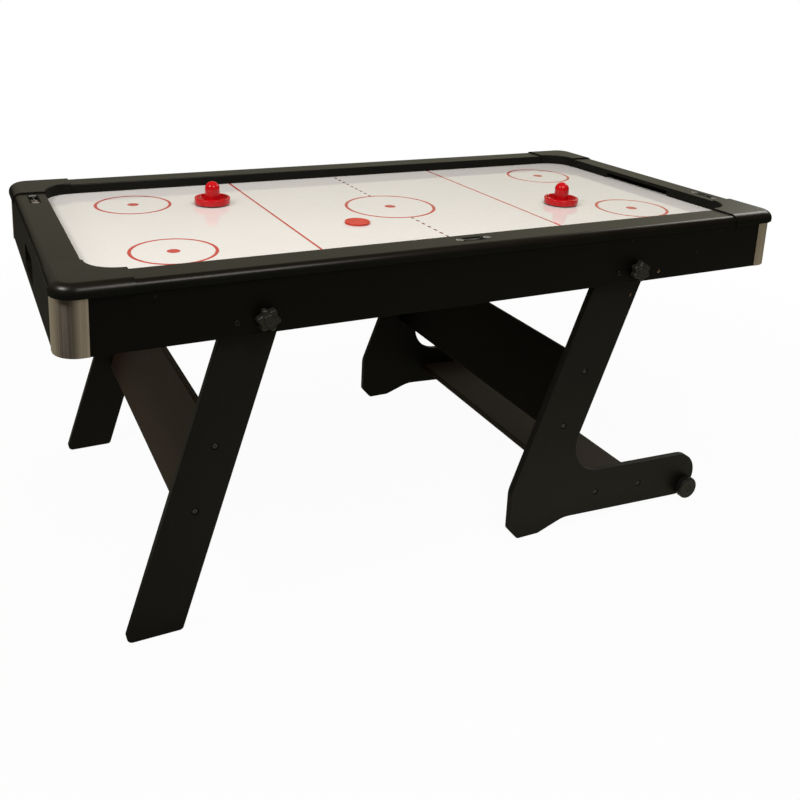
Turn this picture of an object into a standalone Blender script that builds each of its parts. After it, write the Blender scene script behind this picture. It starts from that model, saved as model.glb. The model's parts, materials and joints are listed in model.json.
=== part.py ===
# Air hockey table on two folding leg frames. Metres, +Z up, +X to the right end, +Y to the back.
import math

import bmesh
import bpy
from mathutils import Vector

for item in list(bpy.data.objects):
    bpy.data.objects.remove(item, do_unlink=True)

# Overall sizes
HALF_LENGTH = 0.915
HALF_WIDTH = 0.460
CAP_TOP = 0.799
RAIL_TOP = 0.795
PLAY_TOP = 0.770
APRON_LOW = 0.6545
GAP = 0.0003  # left between pieces that touch
OVERCUT = 0.010  # a cutter runs this far past a face that it opens

# Facets: points round a circle, degrees between the points of a rounded corner
FINE_TURN = 28
TURN = 24
SMALL_TURN = 16
ROD_TURN = 12
FINE_STEP = 11.25
LEG_STEP = 12.0
STEP = 15.0
SLOT_STEP = 22.5
FAN_STEP = 30.0
COARSE_STEP = 45.0
SMOOTH_BELOW = math.radians(35.0)

# Cabinet boards, under the overhang of the rails and caps
APRON_X = HALF_LENGTH - 0.006
APRON_Y = HALF_WIDTH - 0.008
APRON_THICK = 0.018
APRON_TOP = PLAY_TOP + GAP
PLAY_X = 0.850
PLAY_THICK = 0.012
PLENUM_X = 0.803
PLENUM_Y = 0.403
PLENUM_LOW = 0.700
STRIP = 0.018
FLOOR_THICK = 0.004
FLOOR_LOW = PLENUM_LOW - FLOOR_THICK
HOLE_RADIUS = 0.0045

# Metal corner posts, proud of the aprons
POST_PROUD = 0.0015
POST_REACH_X = 0.848
POST_REACH_Y = 0.392
POST_RADIUS = 0.050

# Rails and moulded corner caps; the caps stand a little further in than the rails
RAIL_LOW = APRON_TOP + GAP
RAIL_OUT_X = HALF_LENGTH - 0.003
RAIL_OUT_Y = HALF_WIDTH - 0.003
WALL_X = RAIL_OUT_X - 0.076
WALL_Y = RAIL_OUT_Y - 0.080
RAIL_EDGE = 0.016
RAIL_LIP = 0.003
CAP_REACH_X = 0.762
CAP_REACH_Y = 0.304
CAP_IN = 0.002
CAP_RADIUS = 0.050
CAP_INNER_RADIUS = 0.068
CAP_BAND = 0.779
CAP_SHOULDER = 0.040
CAP_SHOULDER_STEPS = 6
CAP_UNDERCUT = 0.003

# Goals and puck returns
GOAL_HALF = 0.130
GOAL_HIGH = 0.785
GOAL_DEEP = 0.8905
RETURN_HALF = 0.080
RETURN_LOW = 0.675
RETURN_HIGH = 0.735
RETURN_CORNER = 0.018
BOX_HALF = 0.140
BOX_INNER_X = 0.8055
BOX_LOW = 0.660
BOX_WALL = 0.004

# Leg boards stand inside the aprons, one frame at each end
LEG_OUT = APRON_Y - APRON_THICK - 0.0007
LEG_THICK = 0.018
LEG_IN = LEG_OUT - LEG_THICK
LEG_TOP_CORNER = 0.020
PANEL_THICK = 0.018
PANEL_EDGE = 0.002
PANEL_HALF_Y = LEG_IN - GAP

# Left frame: straight boards, leaning to the left
LEFT_PIVOT = (-0.505, 0.689)
LEFT_LOCK = (-0.5655, 0.684)
LEFT_SLOPE = 0.3124
LEFT_FOOT = (-0.803, -0.6762)
LEFT_FOOT_CORNERS = (0.0132, 0.004)
LEFT_TOP_RADIUS = 0.0417
LEFT_PANEL = (-0.628, 0.3385)
LEFT_PANEL_HALF = 0.106

# Right frame: L-shaped boards, leaning to the left, with a foot arm that ends at a roller
RIGHT_PIVOT = (0.4485, 0.6875)
RIGHT_LOCK = (0.394, 0.6835)
RIGHT_SLOPE = 0.3757
RIGHT_TOP_RADIUS = 0.0505
RIGHT_BOARD = 0.1375
HEEL_X = 0.1472
HEEL_HIGH = 0.031
HEEL_CORNER = 0.010
HEEL_BACK_RADIUS = 0.060
HEEL_PAD = (0.1745, 0.2375)
HEEL_PAD_CORNERS = (0.006, 0.020)
ARCH = (0.3150, 0.0270)
ARCH_RADIUS = 0.090
ARM_END_X = 0.7523
ARM_LOW = 0.0025
ARM_HIGH = 0.1220
ARM_RADIUS = 0.0585
CROOK_HIGH = 0.1460
CROOK_RADIUS = 0.085
FOLD_RADIUS = 0.0735
FOLD_HOLE_APRON = -10.0
FOLD_HOLE_LEG = -85.0
RIGHT_PANEL = (0.3128, 0.3558)
RIGHT_PANEL_HALF = 0.102
FOOT_BOARD = (0.4745, 0.0746)
FOOT_BOARD_HALF = 0.104
FOOT_BOARD_TILT = -2.6

# Rollers outside the foot arms: a plain disc with the axle's head let into its face
ROLLER = (0.717, 0.032)
ROLLER_RADIUS = 0.030
ROLLER_WIDTH = 0.021
ROLLER_EDGE = 0.004
ROLLER_CLEAR = 0.003
ROLLER_BOSS = 0.012
ROLLER_BOSS_HIGH = 0.002
ROLLER_SINK = 0.0095
ROLLER_SINK_DEEP = 0.003
AXLE_RADIUS = 0.005
AXLE_HEAD = 0.0085
AXLE_HEAD_HIGH = 0.0025
AXLE_TAIL = 0.008
AXLE_TAIL_HIGH = 0.004
AXLE_CHAMFER = 0.001

# Star knobs: a stud, a round hub and a six-lobed grip
STUD_RADIUS = 0.004
STUD_PAST_LEG = 0.006
KNOB_RADIUS = 0.0225
KNOB_LOBE = 0.0028
KNOB_LOBES = 6
KNOB_PHASE = {"left": -5.0, "right": 28.0}
KNOB_DEEP = 0.025
KNOB_HUB = 0.012
KNOB_HUB_HIGH = 0.005
KNOB_CHAMFER = 0.003
KNOB_CHAMFER_LOBE = 0.8
KNOB_GRIP_TOP = 0.019
KNOB_FACE = 0.023
KNOB_CROWN = 0.010
KNOB_CROWN_RISE = 0.0015
KNOB_TURN = 30

# Lock bolts beside the knobs
BOLT_RADIUS = 0.003
BOLT_HEAD = 0.006
BOLT_RIM = 0.0012
BOLT_HIGH = 0.0028
BOLT_CROWN = 0.0045

# Bead scorers let into the rails
SCORER_LENGTH = 0.092
SCORER_WIDTH = 0.026
SCORER_DEEP = 0.009
SCORER_TOP = RAIL_TOP + 0.0008
CHANNEL_LENGTH = 0.052
CHANNEL_WIDTH = 0.018
CHANNEL_DEEP = 0.0072
ROD_RADIUS = 0.0015
ROD_DEEP = 0.0022
ROD_SEAT = 0.002
BEAD_RADIUS = 0.0042
BEAD_HALF = 0.005
BEAD_EDGE = 0.001
BEAD_REST = 0.0195
SCORER_MID_X = 0.869
SCORER_MID_Y = 0.411
SCORER_END_Y = 0.240

# Mallets on felt: a rim round a well, and a domed knob on a neck
MALLET_RADIUS = 0.0475
MALLET_HIGH = 0.060
MALLET_RIM_HIGH = 0.0232
MALLET_RIM_WALL = 0.0068
MALLET_RIM_ROUND = 0.003
MALLET_FOOT_EDGE = (0.002, 0.003)
MALLET_WELL_OUT = (0.034, 0.010)
MALLET_WELL_IN = (0.023, 0.008)
MALLET_NECK = 0.0180
MALLET_NECK_LEVELS = (0.014, 0.036)
MALLET_KNOB = 0.0190
MALLET_DOME_LOW = 0.0448
MALLET_DOME_FULL = 0.8
MALLET_DOME_STEPS = 4
MALLET_DOME_STOP = 0.90
MALLET_LIFT = 0.0005
FELT_RADIUS = 0.0405
FELT_SINK = 0.0410
FELT_SINK_DEEP = 0.0018
FELT_TOP = 0.002
LEFT_MALLET = (-0.4373, 0.162)
RIGHT_MALLET = (0.469, -0.1154)

# Puck
PUCK_RADIUS = 0.0315
PUCK_THICK = 0.005
PUCK_EDGE = 0.0009
PUCK_RIM = 0.006
PUCK_DISH = 0.0006
PUCK = (-0.155, -0.1275)

# Fan under the plenum
FAN_X = 0.120
FAN_HALF = 0.0595
FAN_CORNER = 0.006
FAN_DEEP = 0.038
FAN_TOP = FLOOR_LOW - GAP
FAN_LOW = FAN_TOP - FAN_DEEP
DUCT_RADIUS = 0.0565
HUB_RADIUS = 0.021
RIB_HALF = 0.003
RIB_SEAT = 0.002
RIB_TOP = FAN_TOP - 0.001
RIB_LOW = FAN_TOP - 0.005
MOTOR_LOW = FAN_TOP - 0.012
IMPELLER_LOW = FAN_LOW + 0.005
IMPELLER_TOP = MOTOR_LOW - 0.001
BLADES = 7
BLADE_SEAT = 0.002
BLADE_CLEAR = 0.0025
BLADE_THICK = 0.0024
BLADE_SWEEP = 0.55
BLADE_LEAN = 0.15
BLADE_RISE = 0.001
BLADE_DROP = 0.003
GUARD_THICK = 0.0022
GUARD_RINGS = ((0.014, 0.031), (0.036, 0.052))
GUARD_SPOKE_HALF = 0.0025
GUARD_ARC_STEPS = 4

# Switch box with a rocker and a cord gland, beside the fan
SWITCH = (0.120, 0.160)
SWITCH_HALF = (0.030, 0.018)
SWITCH_LOW = FAN_TOP - 0.022
WELL_HALF = (0.012, 0.0085)
WELL_DEEP = 0.012
GLAND_RADIUS = 0.005
GLAND_TIP = 0.0035
GLAND_LEVELS = (0.028, 0.036, 0.039)
GLAND_HIGH = 0.011
ROCKER_HALF = (0.0108, 0.008)
ROCKER_PROUD = 0.0030
ROCKER_RIDGE = 0.0005
ROCKER_BACK = (0.005, 0.007)
ROCKER_TAPER = 0.001
ROCKER_PIVOT = 0.004


def polar(centre, radius, degrees):
    turn = math.radians(degrees)
    return (centre[0] + radius * math.cos(turn), centre[1] + radius * math.sin(turn))


# Bare holes that meet when the right frame is folded
FOLD_APRON = polar(RIGHT_PIVOT, FOLD_RADIUS, FOLD_HOLE_APRON)
FOLD_LEG = polar(RIGHT_PIVOT, FOLD_RADIUS, FOLD_HOLE_LEG)
SIDES = (("front", -1.0), ("back", 1.0))
ENDS = (("left", -1.0), ("right", 1.0))
PIVOTS = (("left", LEFT_PIVOT), ("right", RIGHT_PIVOT))
LOCKS = (("left", LEFT_LOCK), ("right", RIGHT_LOCK))
SCORERS = (
    ("front", (0.0, -SCORER_MID_Y), "X", 1.0),
    ("left", (-SCORER_MID_X, SCORER_END_Y), "Y", 1.0),
    ("right", (SCORER_MID_X, -SCORER_END_Y), "Y", -1.0),
)


def material(name, colour, roughness, metallic=0.0):
    look = bpy.data.materials.new(name)
    look.use_nodes = True
    shader = look.node_tree.nodes["Principled BSDF"]
    shader.inputs["Base Color"].default_value = (*colour, 1.0)
    shader.inputs["Roughness"].default_value = roughness
    shader.inputs["Metallic"].default_value = metallic
    look.diffuse_color = (*colour, 1.0)
    return look


LOOKS = {
    "apron_laminate": material("apron_laminate", (0.010, 0.009, 0.008), 0.35),
    "leg_laminate": material("leg_laminate", (0.013, 0.011, 0.009), 0.42),
    "panel_laminate": material("panel_laminate", (0.016, 0.012, 0.010), 0.45),
    "rail_laminate": material("rail_laminate", (0.055, 0.050, 0.042), 0.38),
    "cap_plastic": material("cap_plastic", (0.060, 0.055, 0.046), 0.42),
    "post_metal": material("post_metal", (0.30, 0.26, 0.21), 0.35, 0.9),
    "playfield_white": material("playfield_white", (0.80, 0.77, 0.73), 0.12),
    "raw_board": material("raw_board", (0.42, 0.30, 0.18), 0.75),
    "black_plastic": material("black_plastic", (0.012, 0.012, 0.012), 0.40),
    "bright_steel": material("bright_steel", (0.55, 0.55, 0.55), 0.28, 1.0),
    "scorer_silver": material("scorer_silver", (0.60, 0.59, 0.57), 0.35, 0.6),
    "red_gloss": material("red_gloss", (0.62, 0.010, 0.025), 0.18),
    "puck_red": material("puck_red", (0.70, 0.065, 0.050), 0.25),
    "felt_black": material("felt_black", (0.02, 0.02, 0.02), 0.95),
}


def shade(mesh):
    mesh.shade_smooth()
    mesh.set_sharp_from_angle(angle=SMOOTH_BELOW)


def make(name, bm, look, pivot=(0.0, 0.0, 0.0)):
    bmesh.ops.recalc_face_normals(bm, faces=bm.faces)
    bmesh.ops.translate(bm, verts=bm.verts, vec=-Vector(pivot))
    mesh = bpy.data.meshes.new(name)
    bm.to_mesh(mesh)
    bm.free()
    mesh.materials.append(LOOKS[look])
    shade(mesh)
    made = bpy.data.objects.new(name, mesh)
    made.location = pivot
    bpy.context.scene.collection.objects.link(made)
    return made


def lift(outline, axis, level):
    if axis == "X":
        return [(level, a, b) for a, b in outline]
    if axis == "Y":
        return [(a, level, b) for a, b in outline]
    return [(a, b, level) for a, b in outline]


def loft(loops, ring=False):
    # A ring joins its last loop to its first, so the piece has a hole along its axis.
    bm = bmesh.new()
    rows = [[bm.verts.new(point) for point in loop] for loop in loops]
    pairs = list(zip(rows, rows[1:]))
    if ring:
        pairs.append((rows[-1], rows[0]))
    else:
        bm.faces.new(rows[0][::-1])
        bm.faces.new(rows[-1])
    for low, high in pairs:
        for i in range(len(low)):
            j = (i + 1) % len(low)
            bm.faces.new((low[i], low[j], high[j], high[i]))
    return bm


def prism(outline, axis, low, high):
    return loft([lift(outline, axis, low), lift(outline, axis, high)])


def box(low, high):
    outline = [(low[0], low[1]), (high[0], low[1]), (high[0], high[1]), (low[0], high[1])]
    return prism(outline, "Z", low[2], high[2])


def circle(radius, centre, count):
    turns = [math.tau * i / count for i in range(count)]
    return [(centre[0] + radius * math.cos(t), centre[1] + radius * math.sin(t)) for t in turns]


def turned(profile, axis, centre, count=FINE_TURN, ring=False):
    return loft([lift(circle(radius, centre, count), axis, level) for radius, level in profile], ring)


def rounded(corners, step, closed=True):
    # Each corner is (a, b, radius). Radius 0 leaves the corner sharp, as do the ends of an open path.
    outline = []
    last = len(corners) - 1
    for i, (a, b, radius) in enumerate(corners):
        if radius == 0.0 or (not closed and i in (0, last)):
            outline.append((a, b))
            continue
        here = Vector((a, b))
        back = (Vector(corners[i - 1][:2]) - here).normalized()
        ahead = (Vector(corners[(i + 1) % len(corners)][:2]) - here).normalized()
        half = back.angle(ahead) / 2.0
        centre = here + (back + ahead).normalized() * (radius / math.sin(half))
        first = here + back * (radius / math.tan(half)) - centre
        sweep = math.pi - 2.0 * half
        sign = 1.0 if back.x * ahead.y - back.y * ahead.x < 0.0 else -1.0
        count = max(2, math.ceil(math.degrees(sweep) / step))
        start = math.atan2(first.y, first.x)
        for k in range(count + 1):
            turn = start + sign * sweep * k / count
            outline.append((centre.x + radius * math.cos(turn), centre.y + radius * math.sin(turn)))
    return outline


def obround(length, width, centre, along):
    half = length / 2.0
    side = width / 2.0
    bend = side * 0.999  # a hair under the half width, so the two arcs of an end stay apart
    corners = [(-half, -side, bend), (half, -side, bend), (half, side, bend), (-half, side, bend)]
    outline = rounded(corners, SLOT_STEP)
    if along == "Y":
        outline = [(-b, a) for a, b in outline]
    return [(a + centre[0], b + centre[1]) for a, b in outline]


def mirrored(bm, sx, sy):
    for vert in bm.verts:
        vert.co.x *= sx
        vert.co.y *= sy
    return bm


def carve(item, cutters, operation="DIFFERENCE"):
    # The Boolean result is stored in the piece and the cutters are removed.
    for tool in cutters:
        cut = item.modifiers.new("carve", "BOOLEAN")
        cut.operation = operation
        cut.solver = "EXACT"
        cut.object = tool
    shape = item.evaluated_get(bpy.context.evaluated_depsgraph_get())
    carved = bpy.data.meshes.new_from_object(shape)
    item.modifiers.clear()
    plain = item.data
    item.data = carved
    bpy.data.meshes.remove(plain)
    carved.name = item.name
    shade(carved)
    for tool in cutters:
        bpy.data.objects.remove(tool, do_unlink=True)


def cutter(bm):
    return make("cutter", bm, "raw_board")


def drill(point, axis, low, high, radius, count=SMALL_TURN):
    return cutter(turned([(radius, low), (radius, high)], axis, point, count))


def bore(point, sign, inner, outer, radius=HOLE_RADIUS):
    # A hole along Y through a board that stands between two levels, on the front or the back.
    return drill(point, "Y", sign * (inner - OVERCUT), sign * (outer + OVERCUT), radius)


def build_playfield():
    reach = APRON_Y - APRON_THICK - GAP
    board = box((-PLAY_X, -reach, PLAY_TOP - PLAY_THICK), (PLAY_X, reach, PLAY_TOP))
    make("playfield", board, "playfield_white")


def build_plenum():
    board = box((-PLENUM_X, -PLENUM_Y, FLOOR_LOW), (PLENUM_X, PLENUM_Y, PLENUM_LOW))
    floor = make("bottom_panel", board, "raw_board")
    carve(floor, [drill((FAN_X, 0.0), "Z", FLOOR_LOW - OVERCUT, PLENUM_LOW + OVERCUT, DUCT_RADIUS, FINE_TURN)])
    bottom = PLENUM_LOW + GAP
    top = PLAY_TOP - PLAY_THICK - GAP
    inner = PLENUM_Y - STRIP
    for side, sign in SIDES:
        strip = box((-PLENUM_X, inner, bottom), (PLENUM_X, PLENUM_Y, top))
        make("plenum_strip_" + side, mirrored(strip, 1.0, sign), "raw_board")
    for end, sign in ENDS:
        strip = box((PLENUM_X - STRIP, GAP - inner, bottom), (PLENUM_X, inner - GAP, top))
        make("plenum_strip_" + end, mirrored(strip, sign, 1.0), "raw_board")


def build_long_aprons():
    reach = POST_REACH_X - GAP
    inner = APRON_Y - APRON_THICK
    holes = (LEFT_PIVOT, LEFT_LOCK, RIGHT_PIVOT, RIGHT_LOCK, FOLD_APRON)
    for side, sign in SIDES:
        board = box((-reach, inner, APRON_LOW), (reach, APRON_Y, APRON_TOP))
        apron = make(side + "_apron", mirrored(board, 1.0, sign), "apron_laminate")
        carve(apron, [bore(hole, sign, inner, APRON_Y) for hole in holes])


def build_end_aprons():
    # Each has a round-cornered mouth where a scored puck is taken out.
    reach = POST_REACH_Y - GAP
    inner = APRON_X - APRON_THICK
    corners = ((-RETURN_HALF, RETURN_LOW), (RETURN_HALF, RETURN_LOW), (RETURN_HALF, RETURN_HIGH),
               (-RETURN_HALF, RETURN_HIGH))
    mouth = rounded([(a, b, RETURN_CORNER) for a, b in corners], STEP)
    for end, sign in ENDS:
        board = box((inner, -reach, APRON_LOW), (APRON_X, reach, APRON_TOP))
        apron = make(end + "_end_apron", mirrored(board, sign, 1.0), "apron_laminate")
        carve(apron, [cutter(prism(mouth, "X", sign * (inner - OVERCUT), sign * (APRON_X + OVERCUT)))])


def build_posts():
    out_x = APRON_X + POST_PROUD
    out_y = APRON_Y + POST_PROUD
    in_x = APRON_X - APRON_THICK
    in_y = APRON_Y - APRON_THICK
    bend = POST_RADIUS - (out_x - in_x)
    outline = rounded([(POST_REACH_X, out_y, 0.0), (out_x, out_y, POST_RADIUS), (out_x, POST_REACH_Y, 0.0),
                       (in_x, POST_REACH_Y, 0.0), (in_x, in_y, bend), (POST_REACH_X, in_y, 0.0)], FINE_STEP)
    for end, sx in ENDS:
        for side, sy in SIDES:
            post = mirrored(prism(outline, "Z", APRON_LOW, APRON_TOP), sx, sy)
            make("corner_post_" + side + "_" + end, post, "post_metal")


def cap_loop(inset, level):
    out_x = HALF_LENGTH - inset
    out_y = HALF_WIDTH - inset
    in_x = WALL_X - CAP_IN
    in_y = WALL_Y - CAP_IN
    outline = rounded([(CAP_REACH_X, out_y, 0.0), (out_x, out_y, CAP_RADIUS - inset),
                       (out_x, CAP_REACH_Y, 0.0), (in_x, CAP_REACH_Y, 0.0),
                       (in_x, in_y, CAP_INNER_RADIUS), (CAP_REACH_X, in_y, 0.0)], FINE_STEP)
    return lift(outline, "Z", level)


def build_caps():
    # A drawn-in lower edge, an upright band, then a shoulder that rolls over to the flat top.
    loops = [cap_loop(CAP_UNDERCUT, RAIL_LOW), cap_loop(0.0, RAIL_LOW + CAP_UNDERCUT)]
    for k in range(CAP_SHOULDER_STEPS + 1):
        turn = math.pi / 2.0 * k / CAP_SHOULDER_STEPS
        inset = CAP_SHOULDER * (1.0 - math.cos(turn))
        loops.append(cap_loop(inset, CAP_BAND + (CAP_TOP - CAP_BAND) * math.sin(turn)))
    for end, sx in ENDS:
        for side, sy in SIDES:
            make("corner_cap_" + side + "_" + end, mirrored(loft(loops), sx, sy), "cap_plastic")


def rail_profile(inner, outer):
    return rounded([(inner, RAIL_LOW, 0.0), (outer, RAIL_LOW, RAIL_LIP),
                    (outer, RAIL_TOP, RAIL_EDGE), (inner, RAIL_TOP, RAIL_LIP)], STEP)


def scorer_pockets(place):
    floor = SCORER_TOP - SCORER_DEEP - GAP
    cutters = []
    for name, centre, along, way in SCORERS:
        if name == place:
            outline = obround(SCORER_LENGTH + 2.0 * GAP, SCORER_WIDTH + 2.0 * GAP, centre, along)
            cutters.append(cutter(prism(outline, "Z", floor, RAIL_TOP + OVERCUT)))
    return cutters


def build_rails():
    reach = CAP_REACH_X - GAP
    for side, sign in SIDES:
        bar = prism(rail_profile(WALL_Y, RAIL_OUT_Y), "X", -reach, reach)
        rail = make("rail_" + side, mirrored(bar, 1.0, sign), "rail_laminate")
        carve(rail, scorer_pockets(side))
    reach = CAP_REACH_Y - GAP
    for end, sign in ENDS:
        bar = prism(rail_profile(WALL_X, RAIL_OUT_X), "Y", -reach, reach)
        rail = make("rail_" + end, mirrored(bar, sign, 1.0), "rail_laminate")
        slot = box((WALL_X - OVERCUT, -GOAL_HALF, RAIL_LOW - OVERCUT), (GOAL_DEEP, GOAL_HALF, GOAL_HIGH))
        carve(rail, [cutter(mirrored(slot, sign, 1.0))])
        carve(rail, scorer_pockets(end))


def build_goal_boxes():
    high = PLAY_TOP - PLAY_THICK - GAP
    outer = APRON_X - APRON_THICK - GAP
    wall = BOX_WALL
    for end, sign in ENDS:
        shell = box((BOX_INNER_X, -BOX_HALF, BOX_LOW), (outer, BOX_HALF, high))
        hollow = box((BOX_INNER_X + wall, wall - BOX_HALF, BOX_LOW + wall),
                     (outer + OVERCUT, BOX_HALF - wall, high + OVERCUT))
        tray = make("goal_box_" + end, mirrored(shell, sign, 1.0), "black_plastic")
        carve(tray, [cutter(mirrored(hollow, sign, 1.0))])


def left_leg_outline():
    top = LEFT_PIVOT[1] + LEFT_TOP_RADIUS
    outer, inner = LEFT_FOOT
    outer_corner, inner_corner = LEFT_FOOT_CORNERS
    return rounded([(outer, 0.0, outer_corner), (inner, 0.0, inner_corner),
                    (inner + LEFT_SLOPE * top, top, LEFT_TOP_RADIUS),
                    (outer + LEFT_SLOPE * top, top, LEG_TOP_CORNER)], LEG_STEP)


def right_leg_outline():
    # Heel pad, arch, foot arm with a full round end, inner fillet, then up to the pivot.
    top = RIGHT_PIVOT[1] + RIGHT_TOP_RADIUS
    lean = math.hypot(1.0, RIGHT_SLOPE)
    right_top = RIGHT_PIVOT[0] + RIGHT_TOP_RADIUS * (lean + RIGHT_SLOPE)
    left_top = right_top - RIGHT_BOARD * lean
    crook_x = right_top - RIGHT_SLOPE * (top - CROOK_HIGH)
    back_high = top - (left_top - HEEL_X) / RIGHT_SLOPE
    return rounded([(HEEL_X, HEEL_HIGH, HEEL_CORNER), (HEEL_PAD[0], 0.0, HEEL_PAD_CORNERS[0]),
                    (HEEL_PAD[1], 0.0, HEEL_PAD_CORNERS[1]), (*ARCH, ARCH_RADIUS),
                    (ARM_END_X, ARM_LOW, ARM_RADIUS), (ARM_END_X, ARM_HIGH, ARM_RADIUS),
                    (crook_x, CROOK_HIGH, CROOK_RADIUS), (right_top, top, RIGHT_TOP_RADIUS),
                    (left_top, top, LEG_TOP_CORNER), (HEEL_X, back_high, HEEL_BACK_RADIUS)], LEG_STEP)


def leg_board(name, outline, sign, pivot, holes):
    board = mirrored(prism(outline, "Y", LEG_IN, LEG_OUT), 1.0, sign)
    leg = make(name, board, "leg_laminate", (pivot[0], 0.0, pivot[1]))
    carve(leg, [bore(point, sign, LEG_IN, LEG_OUT, radius) for point, radius in holes])


def slanted_panel(name, centre, half, slope, pivot):
    # A board across the frame whose face lies along the direction (slope, 1) in the XZ plane.
    along = Vector((slope, 1.0)).normalized() * half
    across = Vector((along.y, -along.x)).normalized() * (PANEL_THICK / 2.0)
    middle = Vector(centre)
    corners = (middle - along - across, middle - along + across, middle + along + across,
               middle + along - across)
    outline = rounded([(corner.x, corner.y, PANEL_EDGE) for corner in corners], COARSE_STEP)
    board = prism(outline, "Y", -PANEL_HALF_Y, PANEL_HALF_Y)
    make(name, board, "panel_laminate", (pivot[0], 0.0, pivot[1]))


def build_left_frame():
    holes = ((LEFT_PIVOT, HOLE_RADIUS), (LEFT_LOCK, HOLE_RADIUS))
    for side, sign in SIDES:
        leg_board("left_leg_" + side, left_leg_outline(), sign, LEFT_PIVOT, holes)
    slanted_panel("left_cross_panel", LEFT_PANEL, LEFT_PANEL_HALF, LEFT_SLOPE, LEFT_PIVOT)


def build_right_frame():
    holes = ((RIGHT_PIVOT, HOLE_RADIUS), (RIGHT_LOCK, HOLE_RADIUS), (FOLD_LEG, HOLE_RADIUS),
             (ROLLER, AXLE_RADIUS + GAP))
    for side, sign in SIDES:
        leg_board("right_leg_" + side, right_leg_outline(), sign, RIGHT_PIVOT, holes)
    slanted_panel("right_cross_panel", RIGHT_PANEL, RIGHT_PANEL_HALF, RIGHT_SLOPE, RIGHT_PIVOT)
    arm_slope = math.tan(math.radians(90.0 - FOOT_BOARD_TILT))
    slanted_panel("foot_board", FOOT_BOARD, FOOT_BOARD_HALF, arm_slope, RIGHT_PIVOT)


def roller_profile(near, far):
    hole = AXLE_RADIUS + GAP
    rim = ROLLER_RADIUS
    flank = near + ROLLER_BOSS_HIGH
    seat = far - ROLLER_SINK_DEEP
    return [(hole, near), (ROLLER_BOSS, near), (ROLLER_BOSS, flank), (rim - ROLLER_EDGE, flank),
            (rim, flank + ROLLER_EDGE), (rim, far - ROLLER_EDGE), (rim - ROLLER_EDGE, far),
            (ROLLER_SINK, far), (ROLLER_SINK, seat), (hole, seat)]


def axle_profile(seat):
    stop = LEG_IN - GAP
    crown = seat + AXLE_HEAD_HIGH
    return [(AXLE_TAIL, LEG_IN - AXLE_TAIL_HIGH), (AXLE_TAIL, stop), (AXLE_RADIUS, stop), (AXLE_RADIUS, seat),
            (AXLE_HEAD, seat), (AXLE_HEAD, crown - AXLE_CHAMFER), (AXLE_HEAD - AXLE_CHAMFER, crown)]


def build_rollers():
    near = LEG_OUT + ROLLER_CLEAR
    far = near + ROLLER_WIDTH
    pivot = (ROLLER[0], 0.0, ROLLER[1])
    for side, sign in SIDES:
        wheel = turned(roller_profile(near, far), "Y", ROLLER, TURN, True)
        make("roller_" + side, mirrored(wheel, 1.0, sign), "black_plastic", pivot)
        axle = turned(axle_profile(far - ROLLER_SINK_DEEP + GAP), "Y", ROLLER, SMALL_TURN)
        make("roller_axle_" + side, mirrored(axle, 1.0, sign), "bright_steel", pivot)


def star(radius, lobe, centre, phase):
    outline = []
    for i in range(KNOB_TURN):
        turn = math.tau * i / KNOB_TURN
        reach = radius + lobe * math.cos(KNOB_LOBES * turn)
        outline.append((centre[0] + reach * math.cos(turn + phase), centre[1] + reach * math.sin(turn + phase)))
    return outline


def knob_loops(pivot, phase):
    # The stud runs through the apron and the leg, on the leg frame's own pivot axis.
    face = APRON_Y + GAP

    def ring(radius, level):
        return lift(circle(radius, pivot, KNOB_TURN), "Y", level)

    def grip(level):
        return lift(star(KNOB_RADIUS, KNOB_LOBE, pivot, phase), "Y", face + level)

    def chamfer(level):
        outline = star(KNOB_RADIUS - KNOB_CHAMFER, KNOB_LOBE * KNOB_CHAMFER_LOBE, pivot, phase)
        return lift(outline, "Y", face + level)

    return [ring(STUD_RADIUS, LEG_IN - STUD_PAST_LEG), ring(STUD_RADIUS, face),
            ring(KNOB_HUB, face), ring(KNOB_HUB, face + KNOB_HUB_HIGH),
            chamfer(KNOB_HUB_HIGH), grip(KNOB_HUB_HIGH + KNOB_CHAMFER), grip(KNOB_GRIP_TOP),
            chamfer(KNOB_FACE), ring(KNOB_HUB, face + KNOB_DEEP - KNOB_CROWN_RISE),
            ring(KNOB_CROWN, face + KNOB_DEEP)]


def build_knobs():
    for end, pivot in PIVOTS:
        loops = knob_loops(pivot, math.radians(KNOB_PHASE[end]))
        for side, sign in SIDES:
            knob = mirrored(loft(loops), 1.0, sign)
            make("pivot_knob_" + side + "_" + end, knob, "black_plastic", (pivot[0], 0.0, pivot[1]))


def build_lock_bolts():
    face = APRON_Y + GAP
    stages = [(BOLT_RADIUS, LEG_OUT + GAP), (BOLT_RADIUS, face), (BOLT_HEAD, face),
              (BOLT_HEAD, face + BOLT_RIM), (BOLT_CROWN, face + BOLT_HIGH)]
    for end, point in LOCKS:
        for side, sign in SIDES:
            bolt = mirrored(turned(stages, "Y", point, SMALL_TURN), 1.0, sign)
            make("lock_bolt_" + side + "_" + end, bolt, "black_plastic")


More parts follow.
